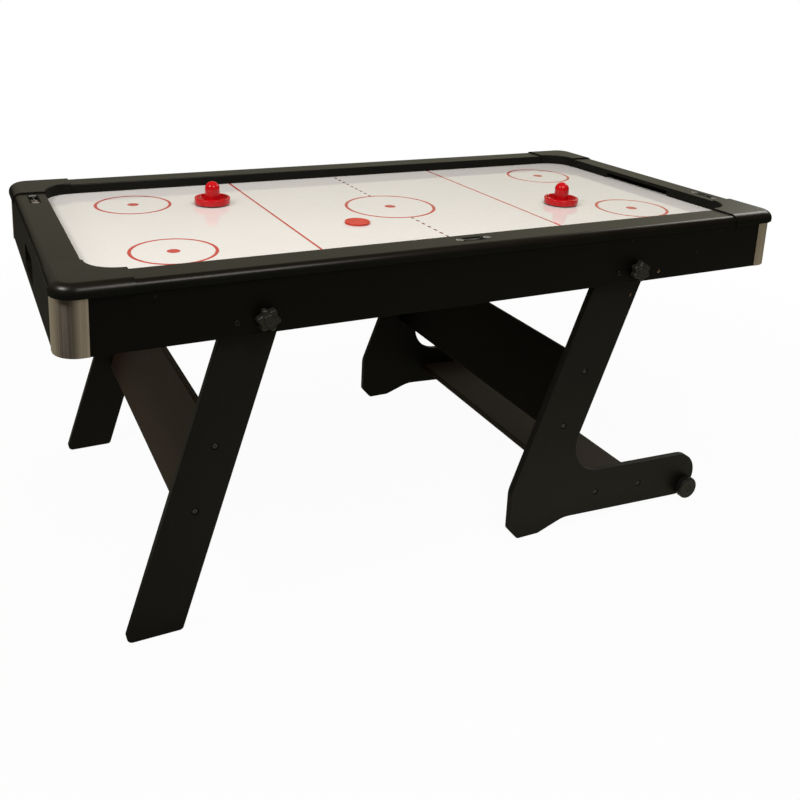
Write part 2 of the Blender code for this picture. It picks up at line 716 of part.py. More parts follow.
def build_scorers():
    # A tray with a channel, a rod across the channel and a bead that slides on the rod.
    low = SCORER_TOP - SCORER_DEEP
    rod_z = SCORER_TOP - ROD_DEEP
    reach = CHANNEL_LENGTH / 2.0 + ROD_SEAT
    bead = rounded([(ROD_RADIUS + GAP, -BEAD_HALF, 0.0), (BEAD_RADIUS, -BEAD_HALF, BEAD_EDGE),
                    (BEAD_RADIUS, BEAD_HALF, BEAD_EDGE), (ROD_RADIUS + GAP, BEAD_HALF, 0.0)], COARSE_STEP)
    for name, centre, along, way in SCORERS:
        plate = prism(obround(SCORER_LENGTH, SCORER_WIDTH, centre, along), "Z", low, SCORER_TOP)
        tray = make("scorer_tray_" + name, plate, "scorer_silver")
        channel = obround(CHANNEL_LENGTH, CHANNEL_WIDTH, centre, along)
        carve(tray, [cutter(prism(channel, "Z", SCORER_TOP - CHANNEL_DEEP, SCORER_TOP + OVERCUT))])
        middle, across = centre if along == "X" else centre[::-1]
        rod = [(ROD_RADIUS, middle - reach), (ROD_RADIUS, middle + reach)]
        carve(tray, [cutter(turned(rod, along, (across, rod_z), ROD_TURN))], "UNION")
        start = middle + way * BEAD_REST
        stages = [(radius, start + level) for radius, level in bead]
        pivot = (start, across, rod_z) if along == "X" else (across, start, rod_z)
        ring = turned(stages, along, (across, rod_z), SMALL_TURN, True)
        make("scorer_bead_" + name, ring, "black_plastic", pivot)


def mallet_profile():
    rim = MALLET_RADIUS
    foot_in, foot_up = MALLET_FOOT_EDGE
    neck_low, neck_high = MALLET_NECK_LEVELS
    path = [(FELT_SINK, FELT_SINK_DEEP, 0.0), (FELT_SINK, 0.0, 0.0), (rim - foot_in, 0.0, 0.0),
            (rim, foot_up, 0.0), (rim, MALLET_RIM_HIGH, MALLET_RIM_ROUND),
            (rim - MALLET_RIM_WALL, MALLET_RIM_HIGH, MALLET_RIM_ROUND), (*MALLET_WELL_OUT, 0.0),
            (*MALLET_WELL_IN, 0.0), (MALLET_NECK, neck_low, 0.0), (MALLET_NECK, neck_high, 0.0)]
    profile = rounded(path, COARSE_STEP, closed=False)
    for k in range(MALLET_DOME_STEPS + 1):
        turn = math.pi / 2.0 * MALLET_DOME_STOP * k / MALLET_DOME_STEPS
        rise = (MALLET_HIGH - MALLET_DOME_LOW) * math.sin(turn) / math.sin(math.pi / 2.0 * MALLET_DOME_STOP)
        profile.append((MALLET_KNOB * math.cos(turn) ** MALLET_DOME_FULL, MALLET_DOME_LOW + rise))
    return profile


def build_mallets():
    base = PLAY_TOP + MALLET_LIFT
    stages = [(radius, base + level) for radius, level in mallet_profile()]
    felt = [(FELT_RADIUS, PLAY_TOP + GAP), (FELT_RADIUS, PLAY_TOP + FELT_TOP)]
    for end, (x, y) in (("left", LEFT_MALLET), ("right", RIGHT_MALLET)):
        make("mallet_" + end, turned(stages, "Z", (x, y)), "red_gloss", (x, y, PLAY_TOP))
        make("mallet_felt_" + end, turned(felt, "Z", (x, y)), "felt_black", (x, y, PLAY_TOP))


def build_puck():
    low = PLAY_TOP + GAP
    high = low + PUCK_THICK
    rim = PUCK_RADIUS
    stages = [(rim - PUCK_EDGE, low), (rim, low + PUCK_EDGE), (rim, high - PUCK_EDGE), (rim - PUCK_EDGE, high),
              (rim - PUCK_RIM, high), (rim - PUCK_RIM - PUCK_DISH, high - PUCK_DISH)]
    make("puck", turned(stages, "Z", PUCK), "puck_red", (*PUCK, PLAY_TOP))


def build_fan_frame():
    # A square casing with a round duct, and a motor held on four ribs.
    corners = ((-1.0, -1.0), (1.0, -1.0), (1.0, 1.0), (-1.0, 1.0))
    square = rounded([(FAN_X + a * FAN_HALF, b * FAN_HALF, FAN_CORNER) for a, b in corners], FAN_STEP)
    frame = make("fan_frame", prism(square, "Z", FAN_LOW, FAN_TOP), "black_plastic")
    carve(frame, [drill((FAN_X, 0.0), "Z", FAN_LOW - OVERCUT, FAN_TOP + OVERCUT, DUCT_RADIUS, FINE_TURN)])
    reach = DUCT_RADIUS + RIB_SEAT
    ribs = [box((FAN_X - reach, -RIB_HALF, RIB_LOW), (FAN_X + reach, RIB_HALF, RIB_TOP)),
            box((FAN_X - RIB_HALF, -reach, RIB_LOW), (FAN_X + RIB_HALF, reach, RIB_TOP))]
    motor = turned([(HUB_RADIUS, MOTOR_LOW), (HUB_RADIUS, RIB_TOP)], "Z", (FAN_X, 0.0), TURN)
    carve(frame, [cutter(shape) for shape in (*ribs, motor)], "UNION")


def build_impeller():
    hub = turned([(HUB_RADIUS, IMPELLER_LOW), (HUB_RADIUS, IMPELLER_TOP)], "Z", (FAN_X, 0.0))
    impeller = make("fan_impeller", hub, "black_plastic", (FAN_X, 0.0, IMPELLER_LOW))
    blades = [cutter(blade(math.tau * i / BLADES)) for i in range(BLADES)]
    carve(impeller, blades, "UNION")


def blade(base):
    root = HUB_RADIUS - BLADE_SEAT
    tip = DUCT_RADIUS - BLADE_CLEAR
    climb = IMPELLER_TOP - IMPELLER_LOW - BLADE_RISE - BLADE_DROP
    loops = []
    for radius in (root, (root + tip) / 2.0, tip):
        loop = []
        for share, thick in ((0.0, 0.0), (1.0, 0.0), (1.0, BLADE_THICK), (0.0, BLADE_THICK)):
            turn = base + BLADE_SWEEP * share + BLADE_LEAN * radius / tip
            level = IMPELLER_LOW + BLADE_RISE + climb * share + thick
            loop.append((FAN_X + radius * math.cos(turn), radius * math.sin(turn), level))
        loops.append(loop)
    return loft(loops)


def build_fan_guard():
    top = FAN_LOW - GAP
    low = top - GUARD_THICK
    disc = turned([(DUCT_RADIUS, low), (DUCT_RADIUS, top)], "Z", (FAN_X, 0.0))
    guard = make("fan_guard", disc, "bright_steel")
    slots = [guard_slot(inner, outer, quarter) for inner, outer in GUARD_RINGS for quarter in range(4)]
    carve(guard, [cutter(prism(slot, "Z", low - OVERCUT, top + OVERCUT)) for slot in slots])


def guard_slot(inner, outer, quarter):
    # A quarter of a ring, with half a spoke left at each end.
    count = GUARD_ARC_STEPS
    outline = []
    for radius, order in ((inner, range(count + 1)), (outer, range(count, -1, -1))):
        trim = math.asin(GUARD_SPOKE_HALF / radius)
        for k in order:
            turn = math.pi / 2.0 * quarter + trim + (math.pi / 2.0 - 2.0 * trim) * k / count
            outline.append((FAN_X + radius * math.cos(turn), radius * math.sin(turn)))
    return outline


def build_switch():
    x, y = SWITCH
    low = SWITCH_LOW
    half_x, half_y = SWITCH_HALF
    well_x, well_y = WELL_HALF
    shell = box((x - half_x, y - half_y, low), (x + half_x, y + half_y, FAN_TOP))
    case = make("switch_box", shell, "black_plastic")
    well = box((x - well_x, y - well_y, low - OVERCUT), (x + well_x, y + well_y, low + WELL_DEEP))
    carve(case, [cutter(well)])
    reach = (GLAND_RADIUS, GLAND_RADIUS, GLAND_TIP)
    gland = [(radius, x + level) for radius, level in zip(reach, GLAND_LEVELS)]
    carve(case, [cutter(turned(gland, "X", (y, low + GLAND_HIGH), SMALL_TURN))], "UNION")
    build_rocker(x, y, low)


def build_rocker(x, y, low):
    half_x, half_y = ROCKER_HALF
    back_low, back_high = ROCKER_BACK
    profile = [(x - half_x, low - ROCKER_PROUD), (x, low - ROCKER_RIDGE), (x + half_x, low + ROCKER_RIDGE),
               (x + half_x - ROCKER_TAPER, low + back_high), (x - half_x + ROCKER_TAPER, low + back_low)]
    rocker = prism(profile, "Y", y - half_y, y + half_y)
    make("switch_rocker", rocker, "red_gloss", (x, y, low + ROCKER_PIVOT))


build_playfield()
build_plenum()
build_long_aprons()
build_end_aprons()
build_posts()
build_caps()
build_rails()
build_goal_boxes()
build_left_frame()
build_right_frame()
build_rollers()
build_knobs()
build_lock_bolts()
build_scorers()
build_mallets()
build_puck()
build_fan_frame()
build_impeller()
build_fan_guard()
build_switch()
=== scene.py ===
import json
import math

import bmesh
import bpy
from mathutils import Matrix, Vector


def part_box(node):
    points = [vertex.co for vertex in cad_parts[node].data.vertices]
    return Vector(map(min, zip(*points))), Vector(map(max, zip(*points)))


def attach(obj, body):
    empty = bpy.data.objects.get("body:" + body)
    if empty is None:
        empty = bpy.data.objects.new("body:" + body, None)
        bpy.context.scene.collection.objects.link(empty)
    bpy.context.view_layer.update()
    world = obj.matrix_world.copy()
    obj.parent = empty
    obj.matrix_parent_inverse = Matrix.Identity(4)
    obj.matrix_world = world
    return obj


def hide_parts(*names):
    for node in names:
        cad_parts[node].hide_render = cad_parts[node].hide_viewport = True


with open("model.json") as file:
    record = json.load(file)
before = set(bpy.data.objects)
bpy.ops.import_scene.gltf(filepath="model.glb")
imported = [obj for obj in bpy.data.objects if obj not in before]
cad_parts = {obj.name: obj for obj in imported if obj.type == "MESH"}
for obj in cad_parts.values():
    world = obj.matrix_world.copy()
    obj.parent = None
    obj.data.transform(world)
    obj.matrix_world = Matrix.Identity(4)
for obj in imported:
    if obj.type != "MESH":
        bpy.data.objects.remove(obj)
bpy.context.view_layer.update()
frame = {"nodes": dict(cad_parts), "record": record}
nodes = frame["nodes"]
nodeBody = {node: body for body, held in frame["record"]["behaviour"]["bodies"].items() for node in held}
sides = {"front": -1.0, "back": 1.0}
ends = {"left": -1.0, "right": 1.0}
corners = [(side + "_" + end, sx, sy) for end, sx in ends.items() for side, sy in sides.items()]
past = 0.01  # cutters reach this far past a face


class Wire:  # one output socket; sums on it add Math nodes
    def __init__(self, paint, socket):
        self.paint = paint
        self.socket = socket

    def calc(self, operation, *values):
        return self.paint.node("ShaderNodeMath", {"operation": operation}, dict(enumerate(values)))

    def pick(self, index):  # another output of the same node
        return Wire(self.paint, self.socket.node.outputs[index])

    def __add__(self, other):
        return self.calc("ADD", self, other)

    def __sub__(self, other):
        return self.calc("SUBTRACT", self, other)

    def __rsub__(self, other):
        return self.calc("SUBTRACT", other, self)

    def __mul__(self, other):
        return self.calc("MULTIPLY", self, other)

    def __truediv__(self, other):
        return self.calc("DIVIDE", self, other)

    def __pow__(self, other):
        return self.calc("POWER", self, other)

    def __abs__(self):
        return self.calc("ABSOLUTE", self)

    __radd__ = __add__
    __rmul__ = __mul__

    def clip(self):  # held between 0 and 1
        return self.paint.node("ShaderNodeClamp", {}, {"Value": self})

    def fract(self):
        return self.calc("FRACT", self)

    def most(self, other):
        return self.calc("MAXIMUM", self, other)

    def below(self, edge, soft):  # 1 under the edge, 0 over it
        return ((edge - self) / soft + 0.5).clip()

    def spread(self, gain):  # more contrast about the middle
        return ((self - 0.5) * gain + 0.5).clip()


class Paint:  # one material and its nodes
    def __init__(self, name, fixed):
        self.material = bpy.data.materials.new(name)
        self.material.use_nodes = True
        self.tree = self.material.node_tree
        self.shader = self.tree.nodes["Principled BSDF"]
        for socket, value in fixed.items():
            self.shader.inputs[socket].default_value = value
        self.coord = self.node("ShaderNodeTexCoord", out=3)

    def node(self, kind, settings=None, sockets=None, out=0):
        made = self.tree.nodes.new(kind)
        for name, value in (settings or {}).items():
            setattr(made, name, value)
        for key, value in (sockets or {}).items():
            if isinstance(value, Wire):
                self.tree.links.new(value.socket, made.inputs[key])
            else:
                made.inputs[key].default_value = value
        return Wire(self, made.outputs[out])

    def feed(self, socket, wire):
        self.tree.links.new(wire.socket, self.shader.inputs[socket])

    def axes(self):
        split = self.node("ShaderNodeSeparateXYZ", {}, {0: self.coord})
        return split, split.pick(1)

    def mix(self, share, first, second):
        pair = [colour if isinstance(colour, Wire) else (*colour, 1.0) for colour in (first, second)]
        return self.node("ShaderNodeMix", {"data_type": "RGBA"}, {0: share, 6: pair[0], 7: pair[1]}, out=2)

    def noise(self, scale, stretch=(1.0, 1.0, 1.0), detail=3.0):
        place = self.node("ShaderNodeVectorMath", {"operation": "MULTIPLY"}, {0: self.coord, 1: stretch})
        return self.node("ShaderNodeTexNoise", {}, {"Vector": place, "Scale": scale, "Detail": detail})

    def bump(self, height, strength, depth):
        return self.node("ShaderNodeBump", {}, {"Height": height, "Strength": strength, "Distance": depth})


# Finishes. Colours are linear, noise scales are per metre.

scales = {
    "grainAlong": 5.0, "grainAcross": 150.0, "pores": 900.0, "boardCloud": 6.0, "mouldCloud": 9.0,
    "smear": 14.0, "fibre": 260.0, "fleck": 900.0, "swirl": 38.0, "scuff": (900.0, 60.0, 60.0),
    "nap": 1400.0, "tuft": 190.0, "paper": 300.0, "paperGloss": 220.0,
    "fieldCloud": 4.0, "fieldScuff": (30.0, 260.0, 30.0), "ink": 120.0, "floor": 3.0,
}


def boardFace(name, axis, dark, pale, gloss, shine):
    paint = Paint(name, {"Specular IOR Level": shine})
    lines = [scales["grainAcross"]] * 3
    lines["XYZ".index(axis)] = scales["grainAlong"]
    grain = paint.noise(1.0, lines, detail=4.0).spread(1.5)  # printed grain that runs along the board
    pores = paint.noise(scales["pores"], detail=2.0)
    cloud = paint.noise(scales["boardCloud"], detail=2.0)
    paint.feed("Base Color", paint.mix((grain * 0.6 + cloud * 0.4).clip(), dark, pale))
    paint.feed("Roughness", gloss + 0.06 * grain + 0.05 * pores + 0.05 * cloud)
    paint.feed("Normal", paint.bump(grain * 0.6 + pores * 0.4, strength=0.08, depth=0.0002))
    return paint.material


def mouldedFace(name, dark, pale, gloss, shine, pebble):
    paint = Paint(name, {"Specular IOR Level": shine})
    fine = paint.noise(pebble, detail=2.0)  # spark-etched texture of the mould
    cloud = paint.noise(scales["mouldCloud"], detail=3.0)
    paint.feed("Base Color", paint.mix(cloud.spread(1.6), dark, pale))
    paint.feed("Roughness", gloss + 0.08 * fine + 0.06 * cloud)
    paint.feed("Normal", paint.bump(fine, strength=0.05, depth=0.0002))
    return paint.material


# Pull draws highlights out along the brushing.
def brushedMetal(name, dark, pale, gloss, lines, pull, metal):
    paint = Paint(name, {"Metallic": metal, "Anisotropic": pull, "Anisotropic Rotation": 0.25})
    brush = paint.noise(1.0, lines, detail=3.0).spread(2.2)
    smear = paint.noise(scales["smear"], detail=3.0)
    paint.feed("Base Color", paint.mix((brush * 0.7 + smear * 0.3).clip(), dark, pale))
    paint.feed("Roughness", gloss + 0.16 * brush + 0.08 * smear)
    paint.feed("Normal", paint.bump(brush, strength=0.10, depth=0.0002))
    return paint.material


def rawBoardFace():
    paint = Paint("rawBoardFace", {"Specular IOR Level": 0.15})
    fibre = paint.noise(scales["fibre"], detail=6.0).spread(2.2)
    fleck = paint.noise(scales["fleck"], detail=2.0).spread(2.6)
    share = (fibre * 0.6 + fleck * 0.4).clip()
    paint.feed("Base Color", paint.mix(share, (0.20, 0.125, 0.062), (0.47, 0.335, 0.19)))
    paint.feed("Roughness", 0.72 + 0.2 * fibre)
    paint.feed("Normal", paint.bump(fibre, strength=0.3, depth=0.0006))
    return paint.material


def glossPlastic(name, dark, pale, gloss, shine, coat):
    paint = Paint(name, {"Specular IOR Level": shine, "Coat Roughness": 0.05})
    swirl = paint.noise(scales["swirl"], detail=4.0)
    scuff = paint.noise(1.0, scales["scuff"], detail=3.0).spread(2.4)
    paint.feed("Base Color", paint.mix(swirl.spread(1.5), dark, pale))
    paint.feed("Roughness", gloss + 0.04 * swirl + 0.05 * scuff)
    paint.feed("Coat Weight", coat * (0.7 + 0.6 * swirl))
    paint.feed("Normal", paint.bump(swirl, strength=0.03, depth=0.0004))
    return paint.material


def feltFace():
    paint = Paint("feltFace", {"Specular IOR Level": 0.05, "Sheen Weight": 0.3})
    nap = paint.noise(scales["nap"], detail=4.0).spread(2.4)
    tuft = paint.noise(scales["tuft"], detail=3.0)
    share = (nap * 0.6 + tuft * 0.4).clip()
    paint.feed("Base Color", paint.mix(share, (0.006, 0.006, 0.006), (0.035, 0.033, 0.031)))
    paint.feed("Roughness", 0.86 + 0.12 * nap)
    paint.feed("Normal", paint.bump(nap, strength=0.6, depth=0.0005))
    return paint.material


tickMarks = {"pitch": 0.0048, "wide": 0.11, "soft": 0.04, "ink": 0.8}


def scaleStrip():  # paper strip under the bead, with plain tick marks
    paint = Paint("scaleStrip", {"Specular IOR Level": 0.2})
    x, y = paint.axes()
    ticks = abs(((x + y) / tickMarks["pitch"]).fract() - 0.5).below(tickMarks["wide"], tickMarks["soft"])
    fibre = paint.noise(scales["paper"], detail=4.0)
    # the paper is coloured lighter, painted light that makes up for the shade in the deep channel
    paper = paint.mix(fibre, (0.230, 0.175, 0.135), (0.320, 0.250, 0.195))
    paint.feed("Base Color", paint.mix(ticks * tickMarks["ink"], paper, (0.016, 0.014, 0.012)))
    paint.feed("Roughness", 0.5 + 0.2 * paint.noise(scales["paperGloss"]))
    return paint.material


# Printed marks of the playfield, and dark dots that paint the shade inside its air holes, in metres from its
# middle.
marks = {
    "wide": 0.0062, "ringWide": 0.0080, "soft": 0.0009, "zoneX": 0.3244,
    "spotX": 0.632, "spotY": 0.214, "spot": 0.0148,
    "cornerRing": 0.0932, "centreRing": 0.1163,
    "dash": 0.0292, "dashOn": 0.52, "dashSoft": 0.03,
    "hole": 0.0006, "holeSoft": 0.0003, "holeStep": 0.0254, "holeShade": 0.55,
}


def playfieldFace():
    paint = Paint("playfieldFace", {"Specular IOR Level": 0.5, "Coat Roughness": 0.04, "Coat IOR": 1.45})
    x, y = paint.axes()
    soft = marks["soft"]
    half = marks["wide"] / 2.0
    ring = marks["ringWide"] / 2.0

    def distance(dx, dy):
        return (dx * dx + dy * dy) ** 0.5

    fromSpot = distance(abs(x) - marks["spotX"], abs(y) - marks["spotY"])
    fromCentre = distance(x, y)
    ink = abs(fromSpot - marks["cornerRing"]).below(ring, soft)
    ink = ink.most(abs(fromCentre - marks["centreRing"]).below(ring, soft))
    ink = ink.most(fromSpot.below(marks["spot"], soft)).most(fromCentre.below(marks["spot"], soft))
    ink = ink.most(abs(abs(x) - marks["zoneX"]).below(half, soft))
    along = (abs(y) / marks["dash"]).fract()
    dashes = along.below(marks["dashOn"], marks["dashSoft"]) * abs(x).below(half, soft)
    dashes = dashes * (1.0 - fromCentre.below(marks["centreRing"] + half, soft))

    # air holes: dark dots, painted shade inside the holes, with a dent in the bump
    step = marks["holeStep"]
    offX = (x / step + 0.5).fract() - 0.5
    offY = (y / step + 0.5).fract() - 0.5
    holes = distance(offX * step, offY * step).below(marks["hole"], marks["holeSoft"])

    cloud = paint.noise(scales["fieldCloud"], detail=3.0)
    scuff = paint.noise(1.0, scales["fieldScuff"], detail=4.0).spread(2.6)
    white = paint.mix(cloud, (0.732, 0.709, 0.697), (0.773, 0.749, 0.739))
    red = paint.mix(paint.noise(scales["ink"]), (0.46, 0.024, 0.019), (0.54, 0.036, 0.029))
    printed = paint.mix(dashes, paint.mix(ink, white, red), (0.17, 0.036, 0.030))
    paint.feed("Base Color", paint.mix(holes * marks["holeShade"], printed, (0.05, 0.05, 0.05)))
    paint.feed("Roughness", 0.035 + 0.03 * scuff + 0.02 * cloud)
    paint.feed("Coat Weight", 0.60 - 0.20 * scuff)
    paint.feed("Normal", paint.bump(1.0 - holes, strength=0.5, depth=0.0008))
    return paint.material


boards = {  # material, way of the grain, dark and pale colour, roughness, shine
    "apron": ("apronLaminate", "X", (0.0022, 0.0019, 0.0013), (0.0040, 0.0035, 0.0026), 0.38, 0.13),
    # end aprons: the apron laminate made lighter and browner, painted warm reflection and light from the left
    "endApronSheen": ("endApronLaminate", "Y", (0.0060, 0.0046, 0.0026), (0.0095, 0.0074, 0.0044), 0.60, 0.12),
    "leg": ("legLaminate", "Z", (0.0064, 0.0059, 0.0047), (0.0103, 0.0096, 0.0079), 0.40, 0.16),
    "leftPanel": ("leftPanelLaminate", "Y", (0.0180, 0.0095, 0.0060), (0.0280, 0.0152, 0.0098), 0.44, 0.20),
    # the right cross panel: the panel laminate made far darker, painted shade from the table above it
    "shadedRightPanel": ("rightPanelLaminate", "Y", (0.0030, 0.0022, 0.0014), (0.0056, 0.0042, 0.0028), 0.44, 0.15),
    "footBoard": ("panelLaminate", "Y", (0.0170, 0.0098, 0.0060), (0.0270, 0.0160, 0.0100), 0.44, 0.20),
}
mouldings = {  # material, dark and pale colour, roughness, shine, pebble
    "rail": ("railWrap", (0.0047, 0.0035, 0.0022), (0.0070, 0.0055, 0.0038), 0.22, 0.29, 1100.0),
    "cap": ("capPlastic", (0.0049, 0.0037, 0.0024), (0.0074, 0.0059, 0.0042), 0.23, 0.36, 1500.0),
    # sides of rails and caps: rougher and less shiny, and darker than the tops as painted shade; the scorer
    # trays take the same dark finish
    "wall": ("bumperWall", (0.0032, 0.0034, 0.0024), (0.0050, 0.0052, 0.0039), 0.55, 0.11, 900.0),
    "plastic": ("blackPlastic", (0.0095, 0.0095, 0.0070), (0.0150, 0.0148, 0.0115), 0.30, 0.50, 1700.0),
    "bolt": ("boltZinc", (0.030, 0.029, 0.024), (0.052, 0.050, 0.043), 0.32, 0.60, 1300.0),
    "dark": ("deepBlack", (0.0045, 0.0045, 0.0040), (0.0100, 0.0098, 0.0088), 0.26, 0.24, 1300.0),
}
metals = {  # material, dark and pale colour, roughness, brush lines, pull, metallic
    "post": ("postMetal", (0.54, 0.45, 0.39), (0.88, 0.75, 0.66), 0.24, (420.0, 420.0, 2.5), 0.70, 1.0),
    "steel": ("zincSteel", (0.42, 0.42, 0.41), (0.60, 0.60, 0.58), 0.22, (240.0, 240.0, 240.0), 0.0, 1.0),
    "silver": ("scorerSilver", (0.21, 0.205, 0.19), (0.31, 0.30, 0.285), 0.34, (60.0, 900.0, 60.0), 0.0,
               0.55),
}
glosses = {  # material, dark and pale colour, roughness, shine, coat
    "red": ("redGloss", (0.45, 0.0034, 0.0060), (0.52, 0.0054, 0.0094), 0.08, 0.24, 0.25),
    "puck": ("puckRed", (0.48, 0.043, 0.026), (0.55, 0.057, 0.036), 0.24, 0.16, 0.04),
}
looks = {"field": playfieldFace(), "raw": rawBoardFace(), "felt": feltFace(), "strip": scaleStrip()}
makers = ((boardFace, boards), (mouldedFace, mouldings), (brushedMetal, metals), (glossPlastic, glosses))
for makeFace, table in makers:
    for look, spec in table.items():
        looks[look] = makeFace(*spec)
print("finishes:", len(looks))


# Mesh helpers

def lifted(outline, axis, level):
    if axis == "X":
        return [(level, a, b) for a, b in outline]
    if axis == "Y":
        return [(a, level, b) for a, b in outline]
    return [(a, b, level) for a, b in outline]


def loft(loops, ring=False):
    bm = bmesh.new()
    rows = [[bm.verts.new(point) for point in loop] for loop in loops]
    pairs = list(zip(rows, rows[1:]))
    if ring:
        pairs.append((rows[-1], rows[0]))
    else:
        bm.faces.new(rows[0][::-1])
        bm.faces.new(rows[-1])
    for low, high in pairs:
        for i in range(len(low)):
            j = (i + 1) % len(low)
            bm.faces.new((low[i], low[j], high[j], high[i]))
    return bm


def circle(radius, centre, count):
    turns = [math.tau * i / count for i in range(count)]
    return [(centre[0] + radius * math.cos(t), centre[1] + radius * math.sin(t)) for t in turns]


def turned(path, axis, centre, count, ring=False):
    return loft([lifted(circle(radius, centre, count), axis, level) for radius, level in path], ring)


def bar(radius, start, stop, axis, centre, count=32):  # a plain round bar
    return turned([(radius, start), (radius, stop)], axis, centre, count)


def prism(outline, axis, start, stop):
    return loft([lifted(outline, axis, start), lifted(outline, axis, stop)])


def rectangle(a0, a1, b0, b1):
    return [(a0, b0), (a1, b0), (a1, b1), (a0, b1)]


def rounded(points, step=6.5, closed=True):  # each point is (a, b, rounding)
    outline = []
    last = len(points) - 1
    for i, (a, b, radius) in enumerate(points):
        if radius == 0.0 or (not closed and i in (0, last)):
            outline.append((a, b))
            continue
        here = Vector((a, b))
        back = (Vector(points[i - 1][:2]) - here).normalized()
        ahead = (Vector(points[(i + 1) % len(points)][:2]) - here).normalized()
        half = back.angle(ahead) / 2.0
        centre = here + (back + ahead).normalized() * (radius / math.sin(half))
        first = here + back * (radius / math.tan(half)) - centre
        sweep = math.pi - 2.0 * half
        sign = 1.0 if back.x * ahead.y - back.y * ahead.x < 0.0 else -1.0
        count = max(2, math.ceil(math.degrees(sweep) / step))
        start = math.atan2(first.y, first.x)
        for k in range(count + 1):
            turn = start + sign * sweep * k / count
            outline.append((centre.x + radius * math.cos(turn), centre.y + radius * math.sin(turn)))
    return outline


def obround(length, width, centre, along, step=9.5):
    half = length / 2.0
    side = width / 2.0
    bend = side * 0.998  # short of a half circle, so that no edge has zero length
    outline = rounded([(a, b, bend) for a, b in rectangle(-half, half, -side, side)], step)
    if along == "Y":
        outline = [(-b, a) for a, b in outline]
    return [(a + centre[0], b + centre[1]) for a, b in outline]


def inset(outline, depth):  # the same outline, drawn in all round
    count = len(outline)
    points = [Vector(point) for point in outline]
    area = sum(points[i - 1].cross(points[i]) for i in range(count))
    sign = 1.0 if area > 0.0 else -1.0
    made = []
    for i, here in enumerate(points):
        before = (here - points[i - 1]).normalized()
        after = (points[(i + 1) % count] - here).normalized()
        first = Vector((-before.y, before.x)) * sign
        second = Vector((-after.y, after.x)) * sign
        shift = (first + second) * (depth / (1.0 + first.dot(second)))
        made.append((here.x + shift.x, here.y + shift.y))
    return made


def slab(outline, axis, low, high, edge, steps=3):  # a board with softened edges on both faces
    loops = []
    for k in range(steps + 1):
        turn = math.pi / 2.0 * k / steps
        loops.append((edge * (1.0 - math.sin(turn)), edge * (1.0 - math.cos(turn))))
    below = [lifted(inset(outline, draw), axis, low + climb) for draw, climb in loops]
    above = [lifted(inset(outline, draw), axis, high - climb) for draw, climb in reversed(loops)]
    return loft(below + above)


def mirrored(bm, sx, sy):
    for vert in bm.verts:
        vert.co.x *= sx
        vert.co.y *= sy
    return bm


def shade(mesh, sharp=32.0):
    mesh.shade_smooth()
    mesh.set_sharp_from_angle(angle=math.radians(sharp))


def rawObject(name, bm):
    bmesh.ops.recalc_face_normals(bm, faces=bm.faces)
    mesh = bpy.data.meshes.new(name)
    bm.to_mesh(mesh)
    bm.free()
    made = bpy.data.objects.new(name, mesh)
    bpy.context.scene.collection.objects.link(made)
    return made


def newPiece(name, bm, look, node, replaces=True, cuts=()):  # rides the node's body
    piece = rawObject(name, bm)
    piece.data.materials.append(looks[look])
    if cuts:
        carve(piece, cuts)
    shade(piece.data)
    even = piece.modifiers.new("evenNormals", "WEIGHTED_NORMAL")  # flat faces stay flat beside soft edges
    even.keep_sharp = True
    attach(piece, nodeBody[node])
    if replaces:
        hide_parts(node)
    return piece


def carve(piece, cuts):
    tools = [rawObject("cutter", bm) for bm in cuts]
    for tool in tools:
        cut = piece.modifiers.new("carve", "BOOLEAN")
        cut.operation = "DIFFERENCE"
        cut.solver = "EXACT"
        cut.object = tool
    shape = piece.evaluated_get(bpy.context.evaluated_depsgraph_get())
    carved = bpy.data.meshes.new_from_object(shape)
    piece.modifiers.clear()
    plain = piece.data
    piece.data = carved
    bpy.data.meshes.remove(plain)
    carved.name = piece.name
    for tool in tools:
        bpy.data.objects.remove(tool, do_unlink=True)


def tint(piece, look, inside):  # faces that pass the test take a second finish
    piece.data.materials.append(looks[look])
    for face in piece.data.polygons:
        if inside(face):
            face.material_index = len(piece.data.materials) - 1


def dress(look, *names):
    for name in names:
        mesh = nodes[name].data
        mesh.materials.clear()
        mesh.materials.append(looks[look])


def middle(node):
    low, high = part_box(node)
    return (low + high) / 2.0


def spotXZ(node):
    point = middle(node)
    return (point.x, point.z)


def spanY(node, sign):  # its ends along Y, the one nearer the middle first
    low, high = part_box(node)
    return (low.y, high.y) if sign > 0.0 else (high.y, low.y)


# Stage: white floor and backdrop, soft boxes, camera

